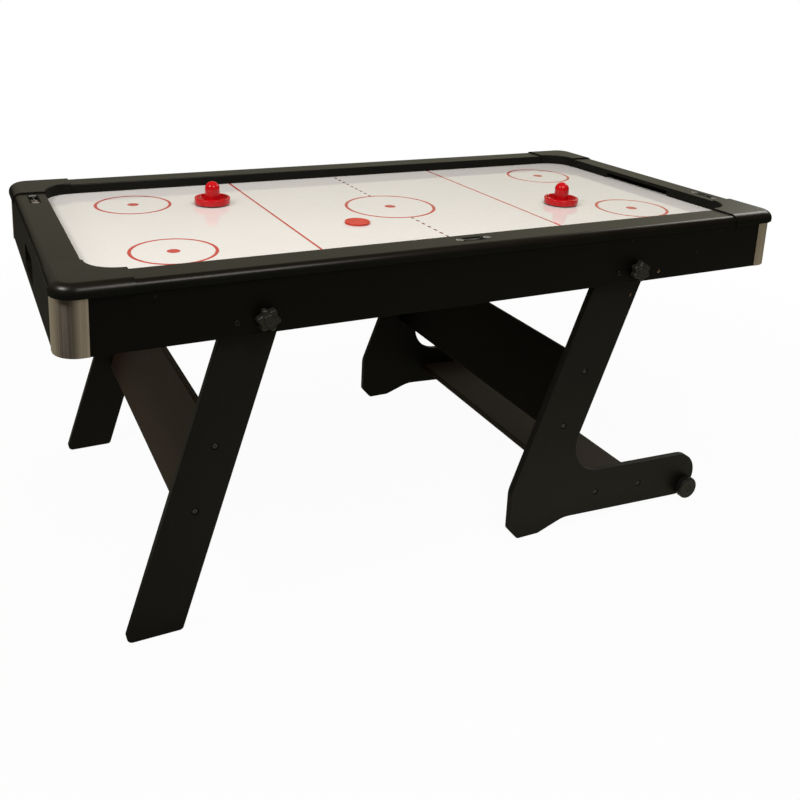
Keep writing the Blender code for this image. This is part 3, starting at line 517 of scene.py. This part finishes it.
stage = {
    "floorSize": 60.0, "floorWhite": 0.96, "fadeFrom": 1.3, "fadeOver": 1.6, "fill": 0.17,
    "roomTint": (1.0, 0.97, 0.72), "roomSides": 0.04, "wallBack": 0.41, "wallFront": 0.10,
    "backFrom": 0.05, "backOver": 0.45, "frontFrom": -0.50, "frontOver": 0.30,
    "wallMiddle": 0.62, "wallSlant": 0.55, "skirtFrom": 0.05, "skirtOver": 0.10,
    "ceiling": 0.05, "ceilingFrom": 0.42, "ceilingOver": 0.30,
    "floorBack": 0.28, "floorFront": 0.28, "floorFar": 6.0, "farOver": 2.5, "lean": 0.30,
    "floorNear": 0.35, "nearTo": 1.45, "nearOver": 0.75, "underTo": -0.40, "underOver": 0.12,
    "rightFloor": 0.26, "rightFrom": 0.80, "rightOver": 0.12,
    "lampTint": (1.0, 0.97, 0.91),
    "softBoxes": (  # name, place, target, size, watts, whether mirrors see it
        ("boxLeft", (-2.35, -0.5, 2.75), (-0.2, 0.0, 0.75), (0.85, 0.65), 36.0, True),
        ("boxFront", (0.05, -2.05, 2.92), (-0.2, 0.0, 0.75), (1.2, 1.0), 26.0, True),
        ("boxRight", (3.0, 0.75, 2.4), (0.2, 0.0, 0.75), (1.2, 1.3), 17.0, True),
        ("boxTop", (0.1, -0.4, 3.0), (0.0, -0.1, 0.77), (2.6, 2.6), 48.0, False),
        ("boxLow", (-3.0, -0.6, 1.6), (-0.6, 0.0, 0.4), (1.6, 0.8), 14.0, False),
    ),
}


def roomLevel(y, back, front):  # what mirrors see of the room: back, sides and front
    side = stage["roomSides"]
    toBack = ((y - stage["backFrom"]) / stage["backOver"]).clip()
    toFront = ((stage["frontFrom"] - y) / stage["frontOver"]).clip()
    return side + (back - side) * toBack + (front - side) * toFront


def roomTone(paint, level, mirrorRay):  # white to the camera, a dimmer and warmer room to mirrors
    tone = paint.mix(level, (0.0, 0.0, 0.0), stage["roomTint"])
    return paint.mix(mirrorRay, (1.0, 1.0, 1.0), tone)


def rays(paint):  # one wire for camera rays, one for mirror rays
    path = paint.node("ShaderNodeLightPath")
    return path, path.pick("Is Glossy Ray").most(path.pick("Is Transmission Ray"))


def makeFloor():
    bm = bmesh.new()
    bmesh.ops.create_grid(bm, x_segments=2, y_segments=2, size=stage["floorSize"] / 2.0)
    floor = rawObject("floor", bm)
    paint = Paint("floorPaper", {"Roughness": 0.9, "Specular IOR Level": 0.0})
    grain = paint.noise(scales["floor"], detail=2.0)
    paint.feed("Base Color", paint.mix(grain, (0.60, 0.60, 0.60), (0.63, 0.63, 0.63)))
    x, y = paint.axes()
    reach = (x * x + y * y) ** 0.5
    away = ((reach - stage["fadeFrom"]) / stage["fadeOver"]).clip()
    white = stage["floorWhite"] + (1.0 - stage["floorWhite"]) * away  # the shadow stays near the table
    cameraRay, mirrorRay = rays(paint)
    near = ((stage["nearTo"] - reach) / stage["nearOver"]).clip()  # floor lit in front of the table
    near = near * ((stage["underTo"] - y) / stage["underOver"]).clip()
    span = reach + 0.01  # never zero
    level = roomLevel((y - stage["lean"] * x) / span, stage["floorBack"], stage["floorFront"])
    level = level + stage["rightFloor"] * ((x / span - stage["rightFrom"]) / stage["rightOver"]).clip()
    level = level * ((stage["floorFar"] - reach) / stage["farOver"]).clip() + stage["floorNear"] * near
    glow = paint.node("ShaderNodeEmission", {}, {"Color": roomTone(paint, level, mirrorRay), "Strength": 1.0})
    lit = Wire(paint, paint.shader.outputs[0])
    blend = paint.node("ShaderNodeMixShader", {}, {0: (cameraRay * white).most(mirrorRay), 1: lit, 2: glow})
    paint.tree.links.new(blend.socket, paint.tree.nodes["Material Output"].inputs["Surface"])
    floor.data.materials.append(paint.material)


class Sky(Paint):  # the world's nodes, with the same tools
    def __init__(self):
        world = bpy.data.worlds.new("studio")
        world.use_nodes = True
        bpy.context.scene.world = world
        self.tree = world.node_tree
        self.shader = self.tree.nodes["Background"]


def makeWorld():
    sky = Sky()
    cameraRay, mirrorRay = rays(sky)
    x = sky.node("ShaderNodeSeparateXYZ", {}, {0: sky.node("ShaderNodeTexCoord")})
    y, z = x.pick(1), x.pick(2)
    over = ((z - stage["ceilingFrom"]) / stage["ceilingOver"]).clip()  # the ceiling is dark
    skirt = ((z - stage["skirtFrom"]) / stage["skirtOver"]).clip()  # and so is the foot of the walls
    level = roomLevel(y, stage["wallBack"], stage["wallFront"]) * skirt
    level = level * (stage["wallMiddle"] + stage["wallSlant"] * x)
    level = level * (1.0 - over) + stage["ceiling"] * over
    fill = stage["fill"]
    tone = roomTone(sky, level, mirrorRay)
    sky.feed("Color", sky.mix(cameraRay.most(mirrorRay), (fill, fill, fill), tone))


def softBox(name, place, target, size, watts, inMirrors):
    data = bpy.data.lights.new(name, "AREA")
    data.shape = "RECTANGLE"
    data.size, data.size_y = size
    data.energy = watts
    data.color = stage["lampTint"]
    lamp = bpy.data.objects.new(name, data)
    lamp.location = place
    lamp.rotation_euler = (Vector(target) - Vector(place)).to_track_quat("-Z", "Y").to_euler()
    lamp.visible_glossy = inMirrors
    bpy.context.scene.collection.objects.link(lamp)


# Camera solved on the table's corners; focal and centre are pixels of an 800 pixel square.
eye = {
    "place": (-1.0779, -2.0586, 1.3497), "yaw": 0.4433, "pitch": -0.2390, "roll": 0.0352,
    "focal": 902.5, "centre": (356.0, 200.0), "frame": 800.0, "sensor": 36.0,
}


def makeCamera():
    data = bpy.data.cameras.new("photoCamera")
    data.sensor_width = eye["sensor"]
    data.lens = eye["focal"] * eye["sensor"] / eye["frame"]
    data.shift_x = 0.5 - eye["centre"][0] / eye["frame"]
    data.shift_y = eye["centre"][1] / eye["frame"] - 0.5
    yaw, pitch, roll = eye["yaw"], eye["pitch"], eye["roll"]
    ahead = Vector((math.sin(yaw) * math.cos(pitch), math.cos(yaw) * math.cos(pitch), math.sin(pitch)))
    right = Vector((math.cos(yaw), -math.sin(yaw), 0.0))
    up = right.cross(ahead)
    tiltedRight = right * math.cos(roll) + up * math.sin(roll)
    tiltedUp = up * math.cos(roll) - right * math.sin(roll)
    turn = Matrix((tiltedRight, tiltedUp, -ahead)).transposed()
    camera = bpy.data.objects.new("photoCamera", data)
    camera.matrix_world = Matrix.Translation(eye["place"]) @ turn.to_4x4()
    bpy.context.scene.collection.objects.link(camera)
    bpy.context.scene.camera = camera


bpy.context.scene.view_settings.view_transform = "Standard"
makeFloor()
makeWorld()
for softBoxSpec in stage["softBoxes"]:
    softBox(*softBoxSpec)
makeCamera()
print("stage: floor, world,", len(stage["softBoxes"]), "soft boxes, camera")


# Cabinet: aprons with their holes, metal posts, rails, corner caps, playfield

aprons = {
    "edge": 0.0008, "hole": 0.0045, "foldRadius": 0.0735, "foldApron": -10.0, "foldLeg": -85.0,
    "mouthHalf": 0.080, "mouthLow": 0.675, "mouthHigh": 0.735, "mouthRound": 0.018,
    "screwCap": 0.003, "screwProud": 0.0003, "screwShoulder": 0.3, "screwCrown": 0.9, "screwCount": 28,
    "screws": ((-0.7253, 0.7584), (0.4284, 0.7616), (0.7176, 0.7627), (0.6421, 0.7117)),
}


def polar(centre, radius, degrees):
    turn = math.radians(degrees)
    return (centre[0] + radius * math.cos(turn), centre[1] + radius * math.sin(turn))


pivots = {end: spotXZ("pivot_knob_front_" + end) for end in ends}
locks = {end: spotXZ("lock_bolt_front_" + end) for end in ends}
foldApron = polar(pivots["right"], aprons["foldRadius"], aprons["foldApron"])
foldLeg = polar(pivots["right"], aprons["foldRadius"], aprons["foldLeg"])


def holeWall(centre, radius):  # a test for faces inside a hole that runs along Y
    reach = radius * 1.01
    return lambda face: math.hypot(face.center.x - centre[0], face.center.z - centre[1]) < reach


def notTop(face, rise=0.3):  # a test for sides, and the lip rolled under them
    return face.normal.z < rise


def makeAprons():
    bore = aprons["hole"]
    holes = [*pivots.values(), *locks.values(), foldApron]
    for side, sign in sides.items():
        node = side + "_apron"
        low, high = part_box(node)
        board = slab(rectangle(low.x, high.x, low.z, high.z), "Y", low.y, high.y, aprons["edge"])
        cuts = [bar(bore, low.y - past, high.y + past, "Y", hole) for hole in holes]
        apron = newPiece(side + "Apron", board, "apron", node, cuts=cuts)
        tint(apron, "raw", holeWall(foldApron, bore))
        makeScrewCaps(side, sign)
    half, bottom, top, bend = (aprons[key] for key in ("mouthHalf", "mouthLow", "mouthHigh", "mouthRound"))
    mouth = rounded([(a, b, bend) for a, b in rectangle(-half, half, bottom, top)])
    for end in ends:
        node = end + "_end_apron"
        low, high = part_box(node)
        board = slab(rectangle(low.y, high.y, low.z, high.z), "X", low.x, high.x, aprons["edge"])
        cut = prism(mouth, "X", low.x - past, high.x + past)
        # the end aprons take the lighter finish, painted reflection and light
        newPiece(end + "EndApron", board, "endApronSheen", node, cuts=[cut])


def makeScrewCaps(side, sign):
    node = side + "_apron"
    face = spanY(node, sign)[1]
    radius = aprons["screwCap"]
    proud = sign * aprons["screwProud"]
    stages = [(radius, face - proud), (radius, face + proud * aprons["screwShoulder"]),
              (radius * aprons["screwCrown"], face + proud)]
    for i, screw in enumerate(aprons["screws"]):
        cap = turned(stages, "Y", screw, aprons["screwCount"])
        newPiece(side + "ScrewCap_" + str(i + 1), cap, "dark", node, replaces=False)


posts = {"bend": 0.050, "edge": 0.0007, "step": 4.7}


def makePosts():
    low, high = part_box("corner_post_back_right")
    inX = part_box("right_end_apron")[0].x
    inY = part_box("back_apron")[0].y
    inner = posts["bend"] - (high.x - inX)
    outline = rounded([(low.x, high.y, 0.0), (high.x, high.y, posts["bend"]), (high.x, low.y, 0.0),
                       (inX, low.y, 0.0), (inX, inY, inner), (low.x, inY, 0.0)], posts["step"])
    for name, sx, sy in corners:
        post = mirrored(slab(outline, "Z", low.z, high.z, posts["edge"]), sx, sy)
        newPiece("cornerPost_" + name, post, "post", "corner_post_" + name)


caps = {
    "outerRound": 0.050, "innerRound": 0.068, "step": 4.7, "inward": 0.002,
    "undercut": 0.003, "underSteps": 4, "band": 0.779, "shoulder": 0.022, "shoulderSteps": 16,
    "innerLip": 0.0028, "seamLip": 0.0012,
}


def lipDraw(lip, top, level):  # how far a rounded top edge has drawn in at this level
    climb = level - (top - lip)
    return 0.0 if climb <= 0.0 else lip - math.sqrt(max(lip * lip - climb * climb, 0.0))


def capLoop(draw, level, low, high, wallX, wallY):
    inner = lipDraw(caps["innerLip"], high.z, level)
    seam = lipDraw(caps["seamLip"], high.z, level)
    outX, outY = high.x - draw, high.y - draw
    outline = rounded([(low.x + seam, outY, 0.0), (outX, outY, caps["outerRound"] - draw),
                       (outX, low.y + seam, 0.0), (wallX + inner, low.y + seam, 0.0),
                       (wallX + inner, wallY + inner, caps["innerRound"] + inner),
                       (low.x + seam, wallY + inner, 0.0)], caps["step"])
    return lifted(outline, "Z", level)


def makeCaps():
    low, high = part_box("corner_cap_back_right")
    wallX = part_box("rail_right")[0].x - caps["inward"]
    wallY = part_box("rail_back")[0].y - caps["inward"]
    under, shoulder, climb = caps["undercut"], caps["shoulder"], high.z - caps["band"]
    stages = []
    for k in range(caps["underSteps"] + 1):  # rounded lower edge
        turn = math.pi / 2.0 * k / caps["underSteps"]
        stages.append((under * (1.0 - math.sin(turn)), low.z + under * (1.0 - math.cos(turn))))
    for k in range(caps["shoulderSteps"] + 1):  # shoulder that rolls over to the flat top
        turn = math.pi / 2.0 * k / caps["shoulderSteps"]
        stages.append((shoulder * (1.0 - math.cos(turn)), caps["band"] + climb * math.sin(turn)))
    loops = [capLoop(draw, level, low, high, wallX, wallY) for draw, level in stages]
    for name, sx, sy in corners:
        shape = mirrored(loft(loops), sx, sy)
        cap = newPiece("cornerCap_" + name, shape, "cap", "corner_cap_" + name)
        # the sides take the darker finish, painted shade
        tint(cap, "wall", notTop)


rails = {
    "edge": 0.016, "lip": 0.003, "step": 5.3, "endLip": 0.0008, "endSteps": 2,
    "goalHalf": 0.130, "goalTop": 0.785, "goalDeep": 0.8905,
    "along": {"front": "X", "back": "X", "left": "Y", "right": "Y"},
}
scorers = {
    "length": 0.092, "width": 0.026, "clear": 0.0003, "deep": 0.009, "rimDrop": 0.0006,
    "edge": 0.0004, "edgeSteps": 2, "channel": 0.0516, "channelWide": 0.018, "channelDeep": 0.0072,
    "dish": 0.0092, "dishAt": 0.036, "dishDeep": 0.0036, "dishWall": 0.001, "dishSteps": 10, "dishCount": 64,
    "rod": 0.0015, "rodDrop": 0.0022, "rodHold": 0.0006, "rodCount": 24, "floorSlack": 0.0002,
    "bead": 0.0042, "beadHalf": 0.005, "beadRound": 0.0016, "beadStep": 12.0, "beadCount": 40,
    "along": {"front": "X", "left": "Y", "right": "Y"},
}


def scorerCut(place):
    node = "scorer_tray_" + place
    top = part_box(node)[1].z
    clear = scorers["clear"]
    length, width = scorers["length"] + 2.0 * clear, scorers["width"] + 2.0 * clear
    outline = obround(length, width, middle(node).xy, scorers["along"][place])
    return prism(outline, "Z", top - scorers["deep"] - clear, top + past)


def makeRails():
    for place, axis in rails["along"].items():
        node = "rail_" + place
        low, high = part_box(node)
        if axis == "X":
            across, start, stop = (low.y, high.y), low.x, high.x
        else:
            across, start, stop = (low.x, high.x), low.y, high.y
        inner, outer = across if across[0] > 0.0 else across[::-1]
        profile = rounded([(inner, low.z, 0.0), (outer, low.z, rails["lip"]), (outer, high.z, rails["edge"]),
                           (inner, high.z, rails["lip"])], rails["step"])
        cuts = [scorerCut(place)] if place in scorers["along"] else []
        if axis == "Y":
            way = 1.0 if inner > 0.0 else -1.0
            mouth = sorted((inner - way * past, way * rails["goalDeep"]))
            goal = rectangle(*mouth, -rails["goalHalf"], rails["goalHalf"])
            cuts.append(prism(goal, "Z", low.z - past, rails["goalTop"]))
        bm = slab(profile, axis, start, stop, rails["endLip"], rails["endSteps"])
        rail = newPiece("railBar_" + place, bm, "rail", node, cuts=cuts)
        # the sides take the darker finish, painted shade
        tint(rail, "wall", notTop)


makeAprons()
makePosts()
makeCaps()
makeRails()
dress("field", "playfield")
dress("raw", "bottom_panel", *("plenum_strip_" + place for place in rails["along"]))
dress("plastic", "goal_box_left", "goal_box_right", "fan_frame", "fan_impeller", "switch_box")
dress("steel", "fan_guard")
dress("red", "switch_rocker")
print("cabinet: aprons, posts, caps, rails")


# Scorers: dark tray with a silver dish at each end, a printed strip, a rod and a bead on it

def makeScorers():
    half = scorers["channel"] / 2.0 + scorers["rodHold"]
    clear = scorers["clear"]
    for place, along in scorers["along"].items():
        node = "scorer_tray_" + place
        low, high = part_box(node)
        spot = middle(node)
        rim = high.z - scorers["rimDrop"]
        floor = high.z - scorers["channelDeep"]
        plate = obround(scorers["length"], scorers["width"], spot.xy, along)
        channel = obround(scorers["channel"], scorers["channelWide"], spot.xy, along)
        dish = dishPath(rim)
        reach = Vector((1.0, 0.0) if along == "X" else (0.0, 1.0)) * scorers["dishAt"]
        tabs = {"a": spot.xy - reach, "b": spot.xy + reach}
        cuts = [prism(channel, "Z", floor, high.z + past)]
        for tab in tabs.values():
            foot = dish[0][1] - clear
            cuts.append(bar(scorers["dish"] + clear, foot, high.z + past, "Z", tab, scorers["dishCount"]))
        bm = slab(plate, "Z", low.z, rim, scorers["edge"], scorers["edgeSteps"])
        tray = newPiece("scorerTray_" + place, bm, "wall", node, cuts=cuts)
        tint(tray, "strip", lambda face: abs(face.center.z - floor) < scorers["floorSlack"])
        for tag, tab in tabs.items():
            bm = turned(dish, "Z", tab, scorers["dishCount"])
            newPiece("scorerTab_" + place + "_" + tag, bm, "silver", node, replaces=False)
        across, start = (spot.y, spot.x) if along == "X" else (spot.x, spot.y)
        level = high.z - scorers["rodDrop"]
        rod = bar(scorers["rod"], start - half, start + half, along, (across, level), scorers["rodCount"])
        newPiece("scorerRod_" + place, rod, "steel", node, replaces=False)
        makeBead(place, along)


def dishPath(rim):  # wall, rim, then down into the hollow
    radius, deep, steps = scorers["dish"], scorers["dishDeep"], scorers["dishSteps"]
    path = [(radius, rim - deep - scorers["dishWall"])]
    for k in range(steps, 0, -1):
        share = k / steps
        path.append((radius * share, rim - deep * (1.0 - share * share)))
    return path


def makeBead(place, along):
    node = "scorer_bead_" + place
    spot = middle(node)
    start, across = (spot.x, spot.y) if along == "X" else (spot.y, spot.x)
    half, radius, bend = scorers["beadHalf"], scorers["bead"], scorers["beadRound"]
    bore = scorers["rod"] + scorers["clear"]
    path = rounded([(bore, -half, 0.0), (radius, -half, bend), (radius, half, bend), (bore, half, 0.0)],
                   scorers["beadStep"])
    stages = [(reach, start + level) for reach, level in path]
    bead = turned(stages, along, (across, spot.z), scorers["beadCount"], True)
    newPiece("scorerBead_" + place, bead, "plastic", node)


makeScorers()
print("scorers:", len(scorers["along"]))


# Legs: boards with soft edges, sunk bolts that hold the cross panels

legs = {
    "edge": 0.0016, "topRound": 0.020, "axleHole": 0.0053,
    "boltHole": 0.0080, "boltDeep": 0.0042, "boltHead": 0.0058, "boltSunk": 0.0012, "boltGap": 0.0002,
    "leftSlope": 0.3124, "leftTop": 0.0417, "leftFootIn": -0.6762, "leftToe": 0.0132, "leftHeel": 0.009,
    "leftBolts": ((-0.6049, 0.4137), (-0.6480, 0.2738)),
    "rightSlope": 0.3757, "rightTop": 0.0505, "rightBoard": 0.1375,
    "heelHigh": 0.031, "heelRound": 0.014, "calfRound": 0.060,
    "arch": ((0.1745, 0.0, 0.011), (0.2375, 0.0, 0.020), (0.3150, 0.0270, 0.090)),  # x, z, rounding
    "armLow": 0.0025, "armHigh": 0.1220, "armRound": 0.0585, "crook": 0.1460, "crookRound": 0.085,
    "rightBolts": ((0.3386, 0.4273), (0.2885, 0.2887), (0.4125, 0.0775), (0.5574, 0.0710)),
}


def leftLegOutline():
    low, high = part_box("left_leg_front")
    footIn = legs["leftFootIn"]
    shift = legs["leftSlope"] * high.z
    return rounded([(low.x, 0.0, legs["leftToe"]), (footIn, 0.0, legs["leftHeel"]),
                    (footIn + shift, high.z, legs["leftTop"]), (low.x + shift, high.z, legs["topRound"])])


def rightLegOutline():  # heel pad, arch, round-ended foot arm, inner fillet, then up to the pivot
    low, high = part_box("right_leg_front")
    slope, bend, crook = legs["rightSlope"], legs["rightTop"], legs["crook"]
    lean = math.hypot(1.0, slope)
    rightTop = pivots["right"][0] + bend * lean + slope * bend
    leftTop = rightTop - legs["rightBoard"] * lean
    innerX = rightTop - slope * (high.z - crook)
    calf = high.z - (leftTop - low.x) / slope
    return rounded([(low.x, legs["heelHigh"], legs["heelRound"]), *legs["arch"],
                    (high.x, legs["armLow"], legs["armRound"]), (high.x, legs["armHigh"], legs["armRound"]),
                    (innerX, crook, legs["crookRound"]), (rightTop, high.z, bend),
                    (leftTop, high.z, legs["topRound"]), (low.x, calf, legs["calfRound"])])


def makeLeg(end, side, sign, outline, holes):
    node = end + "_leg_" + side
    low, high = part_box(node)
    face = spanY(node, sign)[1]
    bolts = legs[end + "Bolts"]
    sunk = face - sign * legs["boltDeep"]
    cuts = [bar(radius, low.y - past, high.y + past, "Y", hole) for hole, radius in holes]
    cuts += [bar(legs["boltHole"], sunk, face + sign * past, "Y", bolt) for bolt in bolts]
    board = slab(outline, "Y", low.y, high.y, legs["edge"])
    leg = newPiece(end + "Leg_" + side, board, "leg", node, cuts=cuts)
    if end == "right":
        tint(leg, "raw", holeWall(foldLeg, aprons["hole"]))
    seat = sunk + sign * legs["boltGap"]
    top = face - sign * legs["boltSunk"]
    for i, bolt in enumerate(bolts):
        head = socketHead(bolt, legs["boltHead"], seat, top, sign)
        name = end + "LegBolt_" + side + "_" + str(i + 1)
        newPiece(name, head, "bolt", node, replaces=False)


def hexagon(reach, centre, count):  # a hexagon walked with as many points as the circles beside it
    outline = []
    for i in range(count):
        turn = math.tau * i / count
        flat = (turn + math.pi / 6.0) % (math.pi / 3.0) - math.pi / 6.0
        radius = reach * math.cos(math.pi / 6.0) / math.cos(flat)
        outline.append((centre[0] + radius * math.cos(turn), centre[1] + radius * math.sin(turn)))
    return outline


heads = {  # shares of a bolt head's radius, and drops from its top
    "count": 36, "side": 0.0010, "edge": 0.93, "edgeDrop": 0.0004, "crown": 0.80,
    "well": 0.52, "wellFoot": 0.97, "wellDeep": 0.0018,
}


def socketHead(centre, radius, base, top, sign):  # button head with a hex socket
    count = heads["count"]
    well = radius * heads["well"]
    rings = [(radius, base), (radius, top - sign * heads["side"]),
             (radius * heads["edge"], top - sign * heads["edgeDrop"]), (radius * heads["crown"], top)]
    stages = [(circle(reach, centre, count), level) for reach, level in rings]
    stages += [(hexagon(well, centre, count), top),
               (hexagon(well * heads["wellFoot"], centre, count), top - sign * heads["wellDeep"])]
    return loft([lifted(outline, "Y", level) for outline, level in stages])


panels = {"thick": 0.018, "round": 0.002, "step": 16.0, "edge": 0.0005, "edgeSteps": 1, "footLean": 92.6}


def makePanel(piece, node, lean, look):
    low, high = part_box(node)
    spot = middle(node)
    thick = panels["thick"]
    along = Vector((math.sin(lean), math.cos(lean)))
    across = Vector((along.y, -along.x))
    run, rise = abs(math.sin(lean)), abs(math.cos(lean))
    # The box of a tilted board gives its length back once its tilt and thickness are known.
    if rise > run:
        length = (high.z - low.z - thick * run) / rise
    else:
        length = (high.x - low.x - thick * rise) / run
    centre = Vector((spot.x, spot.z))
    points = [centre + along * (a * length / 2.0) + across * (b * thick / 2.0)
              for a, b in ((-1, -1), (-1, 1), (1, 1), (1, -1))]
    outline = rounded([(point.x, point.y, panels["round"]) for point in points], panels["step"])
    board = slab(outline, "Y", low.y, high.y, panels["edge"], panels["edgeSteps"])
    newPiece(piece, board, look, node)


def makeLegs():
    holes = {end: [(pivots[end], aprons["hole"]), (locks[end], aprons["hole"])] for end in ends}
    holes["right"] += [(foldLeg, aprons["hole"]), (spotXZ("roller_front"), legs["axleHole"])]
    outlines = {"left": leftLegOutline(), "right": rightLegOutline()}
    for side, sign in sides.items():
        for end in ends:
            makeLeg(end, side, sign, outlines[end], holes[end])
    makePanel("leftCrossPanel", "left_cross_panel", math.atan(legs["leftSlope"]), "leftPanel")
    # the right panel takes the darker laminate, painted shade
    makePanel("rightCrossPanel", "right_cross_panel", math.atan(legs["rightSlope"]), "shadedRightPanel")
    makePanel("footBoard", "foot_board", math.radians(panels["footLean"]), "footBoard")


makeLegs()
print("legs: four boards, three panels, twelve bolts")


# Rollers on the foot arms

# Each row is radius, distance from that end and rounding.
rollers = {
    "count": 72, "step": 9.5,
    "near": ((0.0053, 0.0, 0.0), (0.012, 0.0, 0.0004), (0.012, 0.002, 0.0004), (0.030, 0.002, 0.0042)),
    "far": ((0.030, 0.0, 0.0042), (0.0088, 0.0, 0.0005), (0.0088, 0.003, 0.0), (0.0053, 0.003, 0.0)),
}
axles = {
    "count": 40, "step": 14.0,
    "near": ((0.0065, 0.0, 0.0), (0.0080, 0.0, 0.0008), (0.0080, 0.0037, 0.0), (0.005, 0.0037, 0.0)),
    "far": ((0.005, 0.0025, 0.0), (0.0085, 0.0025, 0.0), (0.0085, 0.0008, 0.0006), (0.0076, 0.0, 0.0006),
            (0.0030, 0.0, 0.0)),
}


def spun(shape, node, sign, centre, ring):
    near, far = spanY(node, sign)
    length = abs(far - near)
    rows = [*shape["near"], *((radius, length - depth, bend) for radius, depth, bend in shape["far"])]
    stages = [(radius, near + sign * level) for radius, level in rounded(rows, shape["step"], False)]
    return turned(stages, "Y", centre, shape["count"], ring)


def makeRollers():
    for side, sign in sides.items():
        wheel, axle = "roller_" + side, "roller_axle_" + side
        centre = spotXZ(wheel)
        newPiece(wheel + "_wheel", spun(rollers, wheel, sign, centre, True), "dark", wheel)
        newPiece("rollerAxle_" + side, spun(axles, axle, sign, centre, False), "dark", axle)


makeRollers()
print("rollers: 2 with axles")


# Star knobs on the pivots, lock bolts beside them

knobs = {
    "radius": 0.0225, "lobe": 0.0028, "lobes": 6, "valley": 0.75, "count": 144,
    "phase": {"left": -5.0, "right": 28.0}, "high": 0.025,
    "stud": 0.004, "studTip": 0.8, "studTaper": 0.0008, "boss": 0.012, "bossHigh": 0.005,
    "body": ((0.84, 0.0050), (0.93, 0.0053), (0.985, 0.0066), (1.0, 0.0088), (1.0, 0.0180), (0.985, 0.0204),
             (0.95, 0.0220), (0.88, 0.0231), (0.78, 0.0233)),  # share of the star, height
    "crown": ((0.0136, 0.0228), (0.0128, 0.0229), (0.0124, 0.0240), (0.0114, 0.0248), (0.0098, 0.0250)),
}


def star(share, centre, phase):
    outline = []
    for i in range(knobs["count"]):
        turn = math.tau * i / knobs["count"]
        wave = math.cos(knobs["lobes"] * (turn - phase))
        wave = math.copysign(abs(wave) ** knobs["valley"], wave)  # round lobes with tighter valleys
        reach = (knobs["radius"] + knobs["lobe"] * wave) * share
        outline.append((centre[0] + reach * math.cos(turn), centre[1] + reach * math.sin(turn)))
    return outline


def makeKnobs():
    count, stud, boss = knobs["count"], knobs["stud"], knobs["boss"]
    for end, centre in pivots.items():
        phase = math.radians(knobs["phase"][end])
        for side, sign in sides.items():
            node = "pivot_knob_" + side + "_" + end
            tail, top = spanY(node, sign)
            face = sign * (abs(top) - knobs["high"])
            rings = [(stud * knobs["studTip"], tail), (stud, tail + sign * knobs["studTaper"]), (stud, face),
                     (boss, face), (boss, face + sign * knobs["bossHigh"])]
            stages = [(circle(radius, centre, count), level) for radius, level in rings]
            stages += [(star(share, centre, phase), face + sign * level) for share, level in knobs["body"]]
            crown = [(radius, face + sign * level) for radius, level in knobs["crown"]]
            stages += [(circle(radius, centre, count), level) for radius, level in crown]
            loops = [lifted(outline, "Y", level) for outline, level in stages]
            newPiece("knob_" + side + "_" + end, loft(loops), "plastic", node)
            makeLockBolt(side, end, sign)


lockBolts = {"head": 0.0060, "headHigh": 0.0025, "shank": 0.0030, "shankDrop": 0.0024, "count": 36}


def makeLockBolt(side, end, sign):
    name = side + "_" + end
    node = "lock_bolt_" + name
    base, top = spanY(node, sign)
    head = socketHead(locks[end], lockBolts["head"], top - sign * lockBolts["headHigh"], top, sign)
    stop = top - sign * lockBolts["shankDrop"]
    shank = bar(lockBolts["shank"], base, stop, "Y", locks[end], lockBolts["count"])
    newPiece("lockBolt_" + name, head, "dark", node)
    newPiece("lockBoltShank_" + name, shank, "steel", node, replaces=False)


makeKnobs()
print("knobs and lock bolts: 4 each")


# Loose pieces: mallets on felt, and the puck

mallets = {
    "count": 112, "step": 8.0, "knob": 0.0191, "high": 0.060, "ballSteps": 15, "ballPart": 14.6,
    "rim": (  # radius, height, rounding: foot, rim, hollow, neck
        (0.0300, 0.0021, 0.0), (0.0450, 0.0021, 0.0008), (0.0460, 0.0043, 0.0022), (0.0460, 0.0190, 0.0030),
        (0.0398, 0.0190, 0.0026), (0.0368, 0.0125, 0.0050), (0.0300, 0.0050, 0.0050),
        (0.0225, 0.0045, 0.0050), (0.0191, 0.0095, 0.0060), (0.0191, 0.0400, 0.0),
    ),
    "pad": 0.0446, "padHigh": 0.0020, "padIn": 0.0008, "padSoft": 0.0005, "padCount": 96,
}


def makeMallets():
    knob, pad = mallets["knob"], mallets["pad"]
    path = rounded(mallets["rim"], mallets["step"], False)
    for k in range(mallets["ballSteps"]):  # the knob ends in half a ball
        turn = math.pi / 2.0 * k / mallets["ballPart"]
        path.append((knob * math.cos(turn), mallets["high"] - knob + knob * math.sin(turn)))
    for end in ends:
        node, felt = "mallet_" + end, "mallet_felt_" + end
        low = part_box(node)[0].z
        centre = middle(node).xy
        striker = turned([(reach, low + level) for reach, level in path], "Z", centre, mallets["count"])
        newPiece("mallet_" + end + "_striker", striker, "red", node)
        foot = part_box(felt)[0].z
        stages = [(pad - mallets["padIn"], foot), (pad, foot + mallets["padSoft"]),
                  (pad, low + mallets["padHigh"])]
        sole = turned(stages, "Z", centre, mallets["padCount"])
        newPiece("malletFelt_" + end, sole, "felt", felt)


puck = {
    "count": 112, "step": 11.0, "lowEdge": 0.0010, "highEdge": 0.0012,
    "lip": 0.0058, "well": 0.0068, "wellDeep": 0.0007, "wellEdge": 0.0006, "core": 0.0010,
}


def makePuck():
    low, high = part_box("puck")
    radius = (high.x - low.x) / 2.0
    thick = high.z - low.z
    well, floor, bend = radius - puck["well"], thick - puck["wellDeep"], puck["wellEdge"]
    path = rounded([(well, 0.0, 0.0), (radius, 0.0, puck["lowEdge"]), (radius, thick, puck["highEdge"]),
                    (radius - puck["lip"], thick, bend), (well, floor, bend), (puck["core"], floor, 0.0)],
                   puck["step"], False)
    stages = [(reach, low.z + level) for reach, level in path]
    newPiece("puck_disc", turned(stages, "Z", middle("puck").xy, puck["count"]), "puck", "puck")


makeMallets()
makePuck()
print("loose pieces: 2 mallets, 1 puck")
